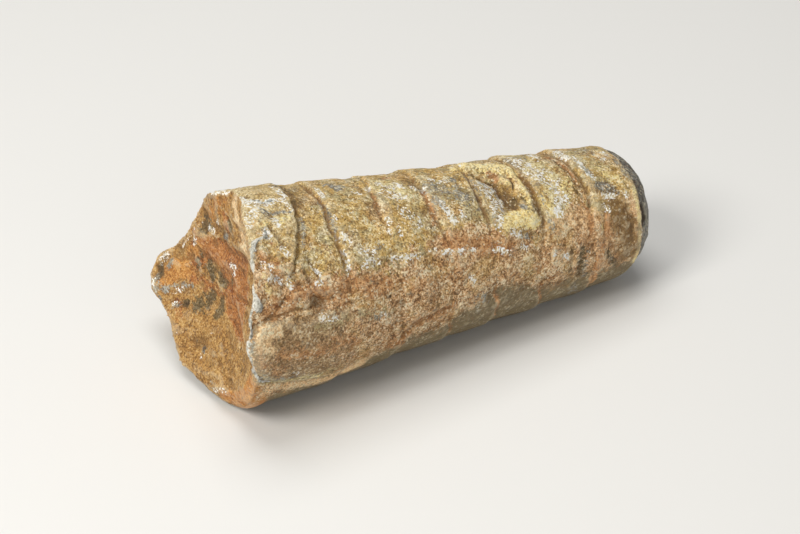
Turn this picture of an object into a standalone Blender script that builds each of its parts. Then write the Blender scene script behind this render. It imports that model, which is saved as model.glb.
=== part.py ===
"""Orthoceras fossil: the inner mould of a straight chambered shell, lying on its side.

One piece of limestone. The wide end is a ragged, hollowed fracture, the narrow end is the domed wall of the
last chamber left, and the underside is worn flat where it lies. Metres, +Z up, the long axis along X with the
dome towards +X. The origin is the centre of the footprint, at the height of the surface it lies on.
"""

import math

import bmesh
import bpy
from mathutils import Vector, noise

MM = 0.001

# Driving dimensions
RADIUS = 14.0 * MM  # of the mould at the first whole suture, where t = 0
TAPER = 0.0762  # radius lost for each unit of length towards the dome
LEAN = math.radians(4.5)  # how far the axis dips towards the dome, so that the underside lies level
AXIS_HEIGHT = 13.5 * MM  # of the axis at t = 0
SUTURES = [t * MM for t in (0.0, 8.0, 16.4, 24.1, 32.8, 41.2)]  # chamber walls, along the axis
DOME_START = 49.2 * MM
DOME_HEIGHT = 7.3 * MM

# Relief of the chambers
GROOVE_DEPTH = 0.30 * MM
GROOVE_HALF_WIDTH = 0.7 * MM
LEDGE = 0.20 * MM  # each chamber starts this much proud and ends this much shy
LUMP_HEIGHT = 0.18 * MM
LUMP_SIZE = 5.0 * MM

# The broken rim of the wide end. Angle from the top in degrees, positive towards -Y, then the place along the
# axis and the distance from it, in millimetres.
BROKEN_RIM = [
    (0, -11.4, 15.2),
    (20, -13.2, 15.1),
    (38, -14.2, 15.1),
    (56, -15.2, 15.2),
    (70, -16.6, 15.4),
    (88, -16.6, 15.5),
    (102, -15.4, 15.2),
    (120, -15.3, 15.0),
    (140, -14.6, 15.1),
    (157, -14.2, 15.1),
    (172, -15.4, 13.9),
    (188, -16.4, 13.4),
    (204, -17.0, 14.3),
    (220, -16.5, 14.5),
    (232, -16.0, 15.4),
    (243, -15.8, 18.6),
    (250, -15.2, 20.4),
    (258, -14.2, 19.9),
    (268, -11.8, 17.6),
    (280, -11.1, 15.8),
    (294, -9.6, 16.4),
    (308, -10.2, 15.9),
    (318, -10.8, 15.4),
    (330, -9.6, 14.9),
    (345, -10.0, 14.9),
]
RIM_FADE = 13.0 * MM  # along the axis, from the rim to the plain cone
HOLLOW_DEPTH = 3.0 * MM  # of the wide end, behind its rim
HOLLOW_CENTRE = (0.12, 0.10)  # towards -Y and up, in parts of the radius
FACE_LUMP = 0.55 * MM

# Counts
COLUMNS = 60
RIM_ROWS = 6
ROW_STEP = 1.45 * MM
DOME_ROWS = 7
FACE_RINGS = 8
PLAIN_START = -4.0 * MM  # rows run straight round the cone from here to the dome
TOUCHING = 0.001 * MM  # points this near the worn underside lie in it

AXIS = Vector((math.cos(LEAN), 0.0, -math.sin(LEAN)))
AXIS_UP = Vector((math.sin(LEAN), 0.0, math.cos(LEAN)))
TOWARDS_FRONT = Vector((0.0, -1.0, 0.0))
AXIS_POINT = Vector((0.0, 0.0, AXIS_HEIGHT))


def smooth_step(low, high, value):
    """0 below low, 1 above high, and a smooth ramp between them."""
    x = min(max((value - low) / (high - low), 0.0), 1.0)
    return x * x * (3.0 - 2.0 * x)


def cone_radius(t):
    return RADIUS - TAPER * t


def cone_point(t, angle, radius):
    """The point at t along the axis and angle round it, counted from the top towards -Y."""
    outward = AXIS_UP * math.cos(angle) + TOWARDS_FRONT * math.sin(angle)
    return AXIS_POINT + AXIS * t + outward * radius


def rim_at(angle):
    """The broken rim at an angle: its place along the axis and its radius, on a closed smooth curve."""
    degrees = math.degrees(angle) % 360.0
    count = len(BROKEN_RIM)
    index = max(i for i in range(count) if BROKEN_RIM[i][0] <= degrees)
    here = [BROKEN_RIM[(index + step) % count] for step in (-1, 0, 1, 2)]
    span = (here[2][0] - here[1][0]) % 360.0
    u = (degrees - here[1][0]) / span
    values = []
    for column in (1, 2):
        a, b, c, d = (point[column] for point in here)
        bend = 2.0 * a - 5.0 * b + 4.0 * c - d
        twist = 3.0 * (b - c) + d - a
        values.append((b + 0.5 * u * ((c - a) + u * (bend + u * twist))) * MM)
    return values


def chamber_relief(t):
    """Grooves at the sutures, and chambers that start proud and end shy."""
    relief = 0.0
    for suture in SUTURES:
        distance = abs(t - suture) / GROOVE_HALF_WIDTH
        if distance < 2.0:
            relief -= GROOVE_DEPTH * 0.5 * (1.0 + math.cos(math.pi * distance / 2.0))
    for start, end in zip(SUTURES, SUTURES[1:] + [DOME_START]):
        if start <= t < end:
            relief += LEDGE * (1.0 - 2.0 * (t - start) / (end - start))
    return relief


def wear(angle):
    """How much of the chamber relief is left at an angle: all of it above, little on the worn underside."""
    from_bottom = math.degrees(abs(abs(angle) - math.pi))
    return 0.2 + 0.8 * smooth_step(40, 75, from_bottom)


def dent(t, angle, centre_t, centre_angle, half_length, half_width, depth):
    """A smooth oval hollow, its half sizes in metres along the axis and round it."""
    away = (angle - centre_angle + math.pi) % (2.0 * math.pi) - math.pi
    reach = math.hypot((t - centre_t) / half_length, away * cone_radius(t) / half_width)
    return -depth * (1.0 - smooth_step(0.35, 1.0, reach))


def damage(t, angle):
    """The larger losses and the layer left on, as offsets from the cone."""
    offset = dent(t, angle, 28.4 * MM, math.radians(20), 3.8 * MM, 6.0 * MM, 1.3 * MM)
    offset += dent(t, angle, -5.4 * MM, math.radians(66), 2.0 * MM, 2.0 * MM, 0.7 * MM)
    offset += dent(t, angle, -4.0 * MM, math.radians(143), 14.0 * MM, 9.0 * MM, -0.3 * MM)
    # a layer left on the upper front beside the rim, which ends at an oblique edge
    edge = -3.2 * MM - 0.085 * MM * math.degrees(angle)
    if math.radians(-30) < angle < math.radians(56):
        sides = smooth_step(-30, -8, math.degrees(angle)) * (1 - smooth_step(40, 56, math.degrees(angle)))
        offset += 0.35 * MM * sides * (1.0 - smooth_step(edge - 0.4 * MM, edge + 0.8 * MM, t))
    # the strip broken away below the front plate
    if math.radians(104) < angle < math.radians(134) and t < 0.0:
        across = smooth_step(104, 112, math.degrees(angle)) * (1 - smooth_step(120, 134, math.degrees(angle)))
        offset -= 0.5 * MM * across * smooth_step(0.0, 8.0 * MM, -t)
    return offset


def lumps(point, size, height):
    return height * noise.fractal(point / size, 1.0, 2.1, 3, noise_basis="PERLIN_ORIGINAL")


def skin_point(t, angle, rim_t, rim_radius):
    """A point of the flank: the cone, its chambers, its damage and the flare towards the broken rim."""
    signed = (angle + math.pi) % (2.0 * math.pi) - math.pi
    fade = 1.0 - smooth_step(0.0, RIM_FADE, t - rim_t)
    flare = (rim_radius - cone_radius(rim_t)) * fade
    quiet = smooth_step(0.0, 2.0 * MM, t - rim_t)
    relief = chamber_relief(t) * wear(signed) + damage(t, signed)
    radius = cone_radius(t) + flare + quiet * relief
    point = cone_point(t, angle, radius)
    return cone_point(t, angle, radius + quiet * lumps(point, LUMP_SIZE, LUMP_HEIGHT))


def flank_places():
    """Places along the axis of the straight rows, with one on each suture."""
    stops = [PLAIN_START] + SUTURES + [DOME_START]
    places = [PLAIN_START]
    for low, high in zip(stops, stops[1:]):
        steps = max(round((high - low) / ROW_STEP), 1)
        places += [low + (high - low) * step / steps for step in range(1, steps + 1)]
    return places


def ring(mesh, points):
    return [mesh.verts.new(point) for point in points]


def join_rings(mesh, first, second):
    """Quads between two rings, the second nearer the dome."""
    count = len(first)
    for i in range(count):
        j = (i + 1) % count
        mesh.faces.new((first[i], first[j], second[j], second[i]))


def flank_rings(mesh, angles):
    """Rings from the broken rim to where the dome starts."""
    rims = [rim_at(angle) for angle in angles]
    rings = []
    for row in range(RIM_ROWS):
        share = row / RIM_ROWS
        points = [
            skin_point(rim_t + (PLAIN_START - rim_t) * share, angle, rim_t, rim_radius)
            for angle, (rim_t, rim_radius) in zip(angles, rims)
        ]
        rings.append(ring(mesh, points))
    for t in flank_places():
        points = [skin_point(t, angle, *rim) for angle, rim in zip(angles, rims)]
        rings.append(ring(mesh, points))
    return rings


def dome_rings(mesh, angles, last_ring):
    """Rings of the domed chamber wall, closed by a fan at its tip."""
    base = cone_radius(DOME_START) - LEDGE
    previous = last_ring
    for row in range(1, DOME_ROWS + 1):
        turn = 0.5 * math.pi * row / (DOME_ROWS + 1)
        t = DOME_START + DOME_HEIGHT * math.sin(turn)
        radius = base * math.cos(turn)
        points = []
        for angle in angles:
            point = cone_point(t, angle, radius)
            points.append(cone_point(t, angle, radius + lumps(point, LUMP_SIZE, LUMP_HEIGHT)))
        current = ring(mesh, points)
        join_rings(mesh, previous, current)
        previous = current
    tip = mesh.verts.new(cone_point(DOME_START + DOME_HEIGHT, 0.0, 0.0))
    for i, corner in enumerate(previous):
        mesh.faces.new((corner, previous[(i + 1) % len(previous)], tip))


def broken_face(mesh, angles, rim_ring):
    """The wide end: rings that shrink from the rim into an uneven hollow."""
    rims = [rim_at(angle) for angle in angles]
    mean_t = sum(rim_t for rim_t, _ in rims) / len(rims)
    tilt_up = 2.0 * sum(rim_t * math.cos(a) for a, (rim_t, _) in zip(angles, rims)) / len(rims)
    tilt_front = 2.0 * sum(rim_t * math.sin(a) for a, (rim_t, _) in zip(angles, rims)) / len(rims)

    def face_point(angle, rim_t, rim_radius, share):
        """A point between the hollow's centre, share 0, and the rim, share 1."""
        up = rim_radius * math.cos(angle) * share + HOLLOW_CENTRE[1] * RADIUS * (1.0 - share)
        front = rim_radius * math.sin(angle) * share + HOLLOW_CENTRE[0] * RADIUS * (1.0 - share)
        plane_t = mean_t + (tilt_up * up + tilt_front * front) / RADIUS
        rim_plane_t = mean_t + (tilt_up * math.cos(angle) + tilt_front * math.sin(angle)) * rim_radius / RADIUS
        t = plane_t + (rim_t - rim_plane_t) * share**4 + HOLLOW_DEPTH * (1.0 - share * share)
        point = AXIS_POINT + AXIS * t + AXIS_UP * up + TOWARDS_FRONT * front
        return point + AXIS * lumps(point, LUMP_SIZE, FACE_LUMP) * (1.0 - share**4)

    previous = rim_ring
    for row in range(1, FACE_RINGS):
        share = 1.0 - row / FACE_RINGS
        points = [face_point(angle, *rim, share) for angle, rim in zip(angles, rims)]
        current = ring(mesh, points)
        join_rings(mesh, current, previous)
        previous = current
    centre = mesh.verts.new(face_point(0.0, *rims[0], 0.0))
    for i, corner in enumerate(previous):
        mesh.faces.new((previous[(i + 1) % len(previous)], corner, centre))


def wear_underside(mesh):
    """Cut away what would lie below the surface it rests on, and close the cut with one flat face."""
    everything = mesh.verts[:] + mesh.edges[:] + mesh.faces[:]
    bmesh.ops.bisect_plane(
        mesh, geom=everything, dist=TOUCHING, plane_co=(0, 0, 0), plane_no=(0, 0, -1), clear_outer=True
    )
    for vert in mesh.verts:
        if vert.co.z < TOUCHING:
            vert.co.z = 0.0
    open_edges = [edge for edge in mesh.edges if edge.is_boundary]
    bmesh.ops.contextual_create(mesh, geom=open_edges)


def centre_on_footprint(mesh):
    """Move the piece so that the middle of its box stands over the origin."""
    for axis in (0, 1):
        places = [vert.co[axis] for vert in mesh.verts]
        middle = 0.5 * (min(places) + max(places))
        for vert in mesh.verts:
            vert.co[axis] -= middle


def fossil_mesh():
    angles = [2.0 * math.pi * column / COLUMNS for column in range(COLUMNS)]
    mesh = bmesh.new()
    rings = flank_rings(mesh, angles)
    for first, second in zip(rings, rings[1:]):
        join_rings(mesh, first, second)
    dome_rings(mesh, angles, rings[-1])
    broken_face(mesh, angles, rings[0])
    wear_underside(mesh)
    centre_on_footprint(mesh)
    bmesh.ops.recalc_face_normals(mesh, faces=mesh.faces[:])
    result = bpy.data.meshes.new("orthoceras_fossil")
    mesh.to_mesh(result)
    mesh.free()
    result.shade_smooth()
    result.set_sharp_from_angle(angle=math.radians(40))
    return result


def limestone():
    material = bpy.data.materials.new("iron_stained_limestone")
    material.use_nodes = True
    shader = material.node_tree.nodes["Principled BSDF"]
    shader.inputs["Base Color"].default_value = (0.42, 0.28, 0.14, 1.0)
    shader.inputs["Roughness"].default_value = 0.75
    shader.inputs["Metallic"].default_value = 0.0
    return material


def main():
    for old in list(bpy.data.objects):
        bpy.data.objects.remove(old, do_unlink=True)
    fossil = bpy.data.objects.new("orthoceras_fossil", fossil_mesh())
    fossil.data.materials.append(limestone())
    bpy.context.scene.collection.objects.link(fossil)


main()
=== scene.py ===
"""Orthoceras fossil: the stone's carved and stained surface, on a pale floor under soft studio light."""
import math

import bpy
import numpy as np
from mathutils import Matrix, Vector, noise


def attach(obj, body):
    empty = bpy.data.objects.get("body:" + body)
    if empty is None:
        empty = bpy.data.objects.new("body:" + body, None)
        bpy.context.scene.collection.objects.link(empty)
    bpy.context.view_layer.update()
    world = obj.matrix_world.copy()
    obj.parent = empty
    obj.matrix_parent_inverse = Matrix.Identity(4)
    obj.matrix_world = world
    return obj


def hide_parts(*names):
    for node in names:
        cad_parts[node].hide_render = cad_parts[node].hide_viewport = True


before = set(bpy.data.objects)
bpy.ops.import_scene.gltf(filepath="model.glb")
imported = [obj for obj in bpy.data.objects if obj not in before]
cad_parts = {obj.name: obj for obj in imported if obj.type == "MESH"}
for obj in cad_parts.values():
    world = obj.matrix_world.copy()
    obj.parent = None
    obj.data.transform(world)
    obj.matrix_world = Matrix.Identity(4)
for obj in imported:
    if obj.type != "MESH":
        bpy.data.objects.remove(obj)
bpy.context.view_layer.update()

MM = 0.001
NODE = "orthoceras_fossil"

# ---------------------------------------------------------------- the stone's own frame
# The axis of the cone runs from the wide broken end to the domed end. Places on the stone are told in
# millimetres along the axis from the first whole suture, and in degrees round it from the top towards the
# front.
AXIS_FOOT = np.array((-19.186, -2.0, 13.5))
LEAN = math.radians(4.5)
AXIS = np.array((math.cos(LEAN), 0.0, -math.sin(LEAN)))
AXIS_UP = np.array((math.sin(LEAN), 0.0, math.cos(LEAN)))
FRONT = np.array((0.0, -1.0, 0.0))
RADIUS = 14.0
TAPER = 0.0762

MERGE_DISTANCE = 0.01 * MM
FLAT_ANGLE = math.radians(60)
EDGE_ANGLE = math.radians(42)
EDGE_CREASE = 0.75
VOXEL = 0.3 * MM

# In mm: the low steps at the sutures, the dome's step in behind its wall and the reach of its crown.
LOW_STEP = 0.17
DOME_STEP = 0.35
CROWN_REACH = 0.38
# How far the worn lip swells and the far tip reaches out, in mm.
LIP_SWELLING = 0.6
TIP_REACH = 1.25
# Where the heart of the worn lip lies, as mm along the axis and mm from it.
LIP_PLACE = (-14.0, 13.6)
# The middle of the crown and of the hollow under the far tip, in degrees round the axis.
TOP_ANGLE = -10
UNDER_TIP_ANGLE = -140.0


def cone_radius(t):
    return RADIUS - TAPER * t


def smooth_step(low, high, value):
    x = np.clip((value - low) / (high - low), 0.0, 1.0)
    return x * x * (3.0 - 2.0 * x)


def between(value, start, full, fading, gone):
    """Rises from 0 to 1 and falls back to 0 as the value grows."""
    return smooth_step(start, full, value) * (1.0 - smooth_step(fading, gone, value))


def ridge(distance, half_width):
    """1 on a line, falling off to both sides of it like a bell."""
    return np.exp(-((distance / half_width) ** 2))


class Stone:
    """The vertices of the stone and where they lie on it, read again after each carving."""

    def __init__(self, piece):
        self.mesh = piece.data
        self.read()

    def read(self):
        count = len(self.mesh.vertices)
        co = np.zeros(count * 3)
        self.mesh.vertices.foreach_get("co", co)
        self.co = co.reshape(-1, 3) / MM
        normal = np.zeros(count * 3)
        self.mesh.vertex_normals.foreach_get("vector", normal)
        self.normal = normal.reshape(-1, 3)
        offset = self.co - AXIS_FOOT
        self.t = offset @ AXIS
        self.up = offset @ AXIS_UP
        self.front = offset @ FRONT
        self.radius = np.hypot(self.up, self.front)
        self.angle = np.degrees(np.arctan2(self.front, self.up))

    def move(self, amount, direction=None):
        """Push each vertex out by its own amount, in millimetres."""
        way = self.normal if direction is None else direction
        self.co = self.co + way * amount[:, None]
        self.settle()

    def settle(self):
        """Keep what lies below the floor on it."""
        self.co[:, 2] = np.maximum(self.co[:, 2], 0.0)
        self.mesh.vertices.foreach_set("co", (self.co * MM).ravel())
        self.mesh.update()
        self.read()

    def noise(self, size, seed, octaves=2):
        """Smooth noise from -1 to 1 with lumps of that size, in millimetres."""
        shift = Vector((seed * 17.3, seed * 5.1, seed * 9.7))
        return np.array(
            [noise.fractal(Vector(p) / size + shift, 1.0, 2.0, octaves) for p in self.co]
        )

    def turn_from(self, angle):
        """Degrees round the axis from an angle, from -180 to 180."""
        return (self.angle - angle + 180.0) % 360.0 - 180.0


def to_line(x, y, points):
    """Distance of each place from a line through some points."""
    best = np.full(len(x), 1e9)
    ends = points[1:] if len(points) > 1 else points
    for (ax, ay), (bx, by) in zip(points, ends):
        dx, dy = bx - ax, by - ay
        length = max(dx * dx + dy * dy, 1e-9)
        share = np.clip(((x - ax) * dx + (y - ay) * dy) / length, 0.0, 1.0)
        best = np.minimum(best, np.hypot(x - ax - share * dx, y - ay - share * dy))
    return best


def on_flank(stone, points):
    """Distance over the flank from a line of (t, angle) points."""
    middle = sum(angle for _, angle in points) / len(points)
    arc = np.radians(stone.turn_from(middle)) * cone_radius(stone.t)
    line = [(t, math.radians(angle - middle) * cone_radius(t)) for t, angle in points]
    return to_line(stone.t, arc, line)


def on_face(stone, points):
    """Distance over the broken face from a line of (front, up) points."""
    return to_line(stone.front, stone.up, points)


# ---------------------------------------------------------------- modelling
def select_only(piece):
    bpy.ops.object.select_all(action="DESELECT")
    piece.hide_set(False)
    piece.select_set(True)
    bpy.context.view_layer.objects.active = piece


def apply_modifier(piece, kind, **settings):
    modifier = piece.modifiers.new(kind.lower(), kind)
    for name, value in settings.items():
        setattr(modifier, name, value)
    select_only(piece)
    bpy.ops.object.modifier_apply(modifier=modifier.name)


def rough_out():
    """The stone's block: a copy of its solid, merged, turned to quads, rounded and evenly meshed."""
    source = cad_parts[NODE]
    piece = source.copy()
    piece.data = source.data.copy()
    piece.name = "stone"
    piece.data.name = "stone"
    piece.parent = None
    piece.data.materials.clear()
    for key in list(piece.keys()):
        del piece[key]
    bpy.context.scene.collection.objects.link(piece)
    select_only(piece)
    bpy.ops.object.mode_set(mode="EDIT")
    bpy.ops.mesh.select_all(action="SELECT")
    bpy.ops.mesh.remove_doubles(threshold=MERGE_DISTANCE)
    bpy.ops.mesh.tris_convert_to_quads(face_threshold=FLAT_ANGLE, shape_threshold=FLAT_ANGLE)
    bpy.ops.mesh.select_all(action="DESELECT")
    bpy.ops.mesh.edges_select_sharp(sharpness=EDGE_ANGLE)
    bpy.ops.transform.edge_crease(value=EDGE_CREASE)
    bpy.ops.object.mode_set(mode="OBJECT")
    apply_modifier(piece, "SUBSURF", levels=2, render_levels=2)
    apply_modifier(piece, "REMESH", mode="VOXEL", voxel_size=VOXEL, adaptivity=0.0)
    apply_modifier(piece, "SMOOTH", factor=0.5, iterations=7)
    bpy.ops.object.shade_smooth()
    return piece


# Sutures: bends as (degrees, mm along the axis), then the groove's depth and half width, how far the chamber
# before dips towards it, how far the next one's lip stands proud, where the groove fades on the front and
# what is left of it.
SUTURES = [
    ([(-60, 0.9), (-20, 0.7), (6, 0.6), (18, 0.1), (27, -0.5), (33, 0.0), (56, -0.3), (90, 0.2), (104, 0.5),
      (117, 0.2), (130, -0.6)],
     0.38, 0.24, 0.2, 0.12, 44, 0.03),
    ([(-60, 9.8), (-14, 9.7), (8, 8.6), (24, 7.9), (40, 7.9), (96, 8.2), (112, 9.0), (122, 8.7),
      (139, 8.4)],
     0.2, 0.16, 0.36, 0.12, 26, 0.03),
    ([(-60, 17.2), (-16, 17.0), (4, 16.6), (15, 16.4), (31, 15.9), (44, 16.6), (60, 16.9), (92, 16.4),
      (107, 16.7), (118, 17.6), (136, 18.0)],
     0.24, 0.22, 0.26, 0.12, 44, 0.05),
    ([(-60, 24.2), (-15, 24.6), (2, 25.0), (13, 24.5), (23, 24.4), (32, 24.2), (46, 24.2), (92, 23.9),
      (103, 24.8), (120, 25.4), (139, 25.6)],
     0.36, 0.24, 0.22, 0.05, 38, 0.05),
    ([(-60, 33.4), (-8, 32.6), (8, 32.6), (15, 33.0), (27, 33.3), (39, 33.5), (49, 33.4), (58, 33.0),
      (78, 31.9), (104, 32.4), (124, 33.9), (135, 34.2)],
     0.28, 0.46, 0.24, 0.12, 56, 0.07),
    ([(-60, 42.0), (-31, 41.9), (-6, 41.6), (2, 41.9), (17, 42.3), (30, 42.3), (43, 42.2), (62, 41.6),
      (78, 41.6), (94, 42.1), (107, 42.3), (121, 42.8), (135, 43.2)],
     0.28, 0.24, 0.42, 0.14, 46, 0.08),
]

# Marks on the flank: a line of (mm along the axis, degrees) points, its half width, how soft its edge is and
# its height, below zero where it is cut in.
FLANK_MARKS = [
    # the lost flake in the fifth chamber: its trough, its basin and a slit
    ([(26.3, 3), (27.6, 7), (29.0, 9.5)], 0.35, 0.22, -0.65),
    ([(28.8, 12), (28.8, 18), (29.1, 25), (28.8, 31)], 0.3, 0.2, -0.4),
    ([(29.5, 22), (30.2, 28), (29.4, 34)], 1.0, 0.8, -0.4),
    ([(31.3, 11), (31.3, 17), (30.9, 21), (30.3, 23)], 0.18, 0.15, -0.6),
    # and what stands round it: the ridge above and beyond, the knob, the tongue and the swelling below
    ([(24.8, -10), (27.4, -7), (29.5, -3), (31.2, 0), (32.0, 4)], 0.9, 0.8, 0.5),
    ([(31.9, 10), (32.2, 22), (32.3, 30), (32.4, 44)], 0.3, 0.3, 0.25),
    ([(29.8, 9.5), (30.5, 14)], 0.6, 0.25, 0.5),
    ([(25.8, 13), (27.0, 17), (27.0, 25), (26.4, 34), (25.4, 44)], 0.9, 0.4, 0.22),
    ([(27.4, 46), (29.4, 45), (31.0, 48)], 1.3, 0.9, 0.45),
    # pits and pin holes
    ([(-5.5, 66.5), (-4.8, 68.5)], 0.55, 1.0, -0.75),
    ([(-4.6, 68), (-3.2, 66.5)], 0.4, 0.8, -0.3),
    ([(6.1, 75)], 0.22, 0.2, -0.6),
    ([(-9.4, 107)], 0.22, 0.2, -0.6),
    ([(6.0, 88)], 0.2, 0.2, -0.4),
    # cracks by the broken rim
    ([(-9.2, 20), (-9.0, 27), (-8.6, 34)], 0.2, 0.18, -0.5),
    ([(-9.4, -27), (-9.8, -14), (-9.6, -3)], 0.22, 0.25, -0.4),
    ([(-5.4, 43), (-4.9, 50), (-4.3, 57)], 0.15, 0.15, -0.3),
    ([(-0.9, 33), (-0.2, 40), (0.1, 48), (0.3, 57)], 0.22, 0.2, -0.3),
    # knobs, hollows and a crack on the front of the first chamber
    ([(-12.6, 43), (-12.2, 48)], 0.6, 0.6, 0.28),
    ([(-11.0, 48), (-10.2, 53)], 0.5, 0.5, -0.28),
    ([(-9.5, 55), (-10.6, 61), (-12.2, 66)], 0.15, 0.18, -0.3),
    ([(-8.2, 46), (-7.4, 52)], 0.4, 0.45, 0.22),
    ([(-6.6, 48), (-6.0, 56)], 0.3, 0.35, -0.2),
    ([(2.4, 46), (3.6, 52)], 0.5, 0.5, 0.22),
    # the ragged upper edge of the plate
    ([(-14.9, 73), (-13.7, 71), (-10.9, 71), (-8.7, 70), (-5.9, 73), (-3.5, 74)], 0.22, 0.25, 0.24),
    ([(-13.7, 68), (-10.9, 68), (-8.7, 67), (-6.4, 70)], 0.2, 0.22, -0.22),
    # the wall of shell left along the rim's front, and the hollow behind it
    ([(-10.6, 27), (-12.2, 28), (-13.4, 32), (-13.9, 38), (-14.5, 47), (-15.0, 55)], 0.2, 0.2, 0.3),
    ([(-12.4, 31), (-12.9, 36), (-13.1, 42)], 0.5, 0.4, -0.16),
    ([(-15.1, 57), (-14.8, 61)], 0.55, 0.35, 0.4),
    ([(-16.2, 66), (-16.6, 74), (-16.7, 82), (-16.4, 92)], 0.22, 0.2, 0.2),
    ([(-15.4, 66), (-15.7, 74), (-15.9, 84), (-15.6, 92)], 0.3, 0.3, -0.14),
    # growth-like grooves in the last chamber and the edge of its domed wall
    ([(44.3, 50), (43.4, 67), (43.8, 84)], 0.2, 0.35, -0.16),
    ([(45.2, 84), (46.4, 96)], 1.0, 1.0, -0.22),
    ([(48.6, 58), (48.8, 70), (48.8, 84)], 0.6, 0.7, -0.25),
    ([(50.2, 36), (50.2, 60), (50.1, 88), (50.1, 112)], 0.5, 0.5, 0.16),
    # flats along the far side of the crest
    ([(-9.0, -42), (-5.0, -42)], 3.0, 2.5, -0.32),
    ([(-5.0, -44), (-3.0, -44)], 1.2, 1.2, -0.3),
    ([(3.0, -42), (7.0, -42)], 2.6, 2.2, -0.2),
    ([(12.0, -42), (26.0, -42)], 4.0, 3.0, -0.4),
    # soft creases before the last suture
    ([(37.7, 76), (37.5, 88), (37.3, 98)], 0.4, 0.6, -0.16),
    ([(39.6, 78), (39.2, 90), (39.6, 104)], 0.4, 0.6, -0.18),
    ([(51.6, 58), (51.7, 66), (51.8, 74)], 0.5, 0.4, -0.55),
    # streaks low on the flank
    ([(7.5, 96), (12.0, 93), (15.8, 91)], 0.25, 0.3, 0.2),
    ([(8.4, 110), (10.3, 100), (13.0, 97.5), (16.4, 94.5)], 0.45, 0.4, -0.22),
    ([(-7.6, 71), (-3.5, 71.5), (-1.5, 69.5), (2.5, 70)], 0.2, 0.25, 0.16),
    # a seam between the pale upper band and the flank
    ([(0.7, 48), (8.5, 52), (15, 55), (21.6, 60), (27.4, 67)], 0.2, 0.3, 0.12),
]

# Marks on the broken face: a line of (mm to the front, mm up) points, then as above.
FACE_MARKS = [
    # the floor of the last wall, red and hollow
    ([(-5.5, 2.5), (-1.5, 1.0), (0.0, -2.5)], 3.4, 2.4, -0.2),
    ([(-8.5, -4.8), (-5.0, -4.6), (-3.2, -4.2)], 1.5, 1.2, -0.12),
    # the orange part of the tip stands over a ledge
    ([(-16.4, -4.6), (-13.6, -3.6), (-11.4, -1.8)], 1.7, 0.5, 0.4),
    ([(-16.4, -8.2), (-13.0, -7.2), (-10.6, -6.2)], 1.1, 0.8, -0.3),
    # ledges
    ([(-13.5, 3.0), (-9.0, 4.9), (-7.0, 5.6), (-3.6, 6.4), (0.5, 8.0)], 0.6, 0.6, 0.35),
    ([(-8.8, -9.7), (-5.2, -8.1), (-0.9, -5.6)], 0.4, 0.3, 0.2),
    ([(-9.0, -10.8), (-5.2, -9.1), (-0.6, -6.8)], 0.5, 0.4, -0.16),
    ([(-4.9, -11.1), (-3.0, -10.0), (-0.1, -8.7)], 0.35, 0.3, 0.18),
    ([(-17.0, -7.2), (-13.6, -5.9), (-10.0, -3.8)], 0.5, 0.5, 0.22),
    # pits
    ([(5.2, -4.5)], 0.25, 0.25, -0.6),
    ([(7.1, -7.0)], 0.2, 0.2, -0.5),
    ([(-3.0, -10.0)], 0.25, 0.25, -0.4),
    ([(-11.2, -6.9), (-10.6, -6.6)], 0.35, 0.3, -0.6),
    ([(-12.8, 4.0), (-12.2, 4.6)], 0.7, 0.6, -0.22),
    ([(-7.4, 5.1)], 0.35, 0.3, -0.25),
    ([(-4.9, 12.0)], 0.25, 0.25, -0.2),
    ([(-11.6, 5.0), (-12.4, 5.6)], 1.3, 1.0, -0.3),
    ([(-5.0, 9.6), (-3.8, 9.0)], 0.5, 0.4, -0.3),
    # a rib up the top of the face
    ([(-8.8, 11.6), (-8.3, 10.3), (-7.9, 8.8), (-7.2, 7.6)], 0.35, 0.4, 0.25),
    # crystals above the lower lip, and the knob on the far lower side
    ([(2.8, -12.2), (4.6, -11.4), (6.0, -11.0)], 0.6, 0.4, 0.22),
    ([(-18.6, -6.9), (-17.6, -7.6)], 0.7, 0.6, 0.35),
    ([(-18.8, -5.2), (-18.3, -6.1)], 0.45, 0.4, -0.5),
    ([(-18.3, -3.8)], 0.25, 0.25, -0.4),
    ([(-17.6, -3.6)], 0.22, 0.2, -0.35),
]

# The layer left on the upper front, beside the rim: its edge as (degrees, mm along the axis).
LAYER_EDGE = [
    (-40, -2.2), (-21, -2.9), (-3, -3.8), (8, -4.2), (17, -4.7), (25, -5.4), (34, -6.5), (40, -7.5),
    (48, -8.9),
]
LAYER_HEIGHT = 0.28
LAYER_GROOVE = 0.5
# The smooth plate low on the front: its upper and lower edges as (mm along the axis, degrees).
PLATE_TOP = [
    (-16.6, 80), (-16.3, 78), (-15.6, 72), (-14.4, 69), (-12.9, 68), (-10.1, 70), (-7.8, 72), (-2.2, 71),
    (2.7, 71),
]
PLATE_BOTTOM = [
    (-16.6, 82), (-16.3, 89), (-15.5, 97), (-13.6, 107), (-10.3, 117), (-6.9, 122), (-3.6, 124), (4.0, 122),
]
PLATE_HEIGHT = 0.5
PLATE_GROOVE = 0.16


def suture_line(stone, bends):
    """How far along the axis each vertex lies past a suture, in mm."""
    angles = [angle for angle, _ in bends]
    places = [t for _, t in bends]
    line = np.interp(stone.angle, angles, places, left=places[0], right=places[-1])
    behind = smooth_step(130.0, 180.0, np.abs(stone.angle))
    mean = sum(places) / len(places)
    return stone.t - (line * (1.0 - behind) + mean * behind)


def groove_share(stone, fade_angle, rest):
    """How much of a suture's groove shows: all of it on top, less on the flank, next to none below."""
    front = 1.0 - (1.0 - rest) * smooth_step(fade_angle, fade_angle + 16, stone.angle)
    front *= 1.0 - 0.6 * smooth_step(105, 135, stone.angle)
    back = 1.0 - 0.6 * smooth_step(60, 110, -stone.angle) - 0.25 * smooth_step(130, 165, -stone.angle)
    return np.where(stone.angle >= 0, front, back)


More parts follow.
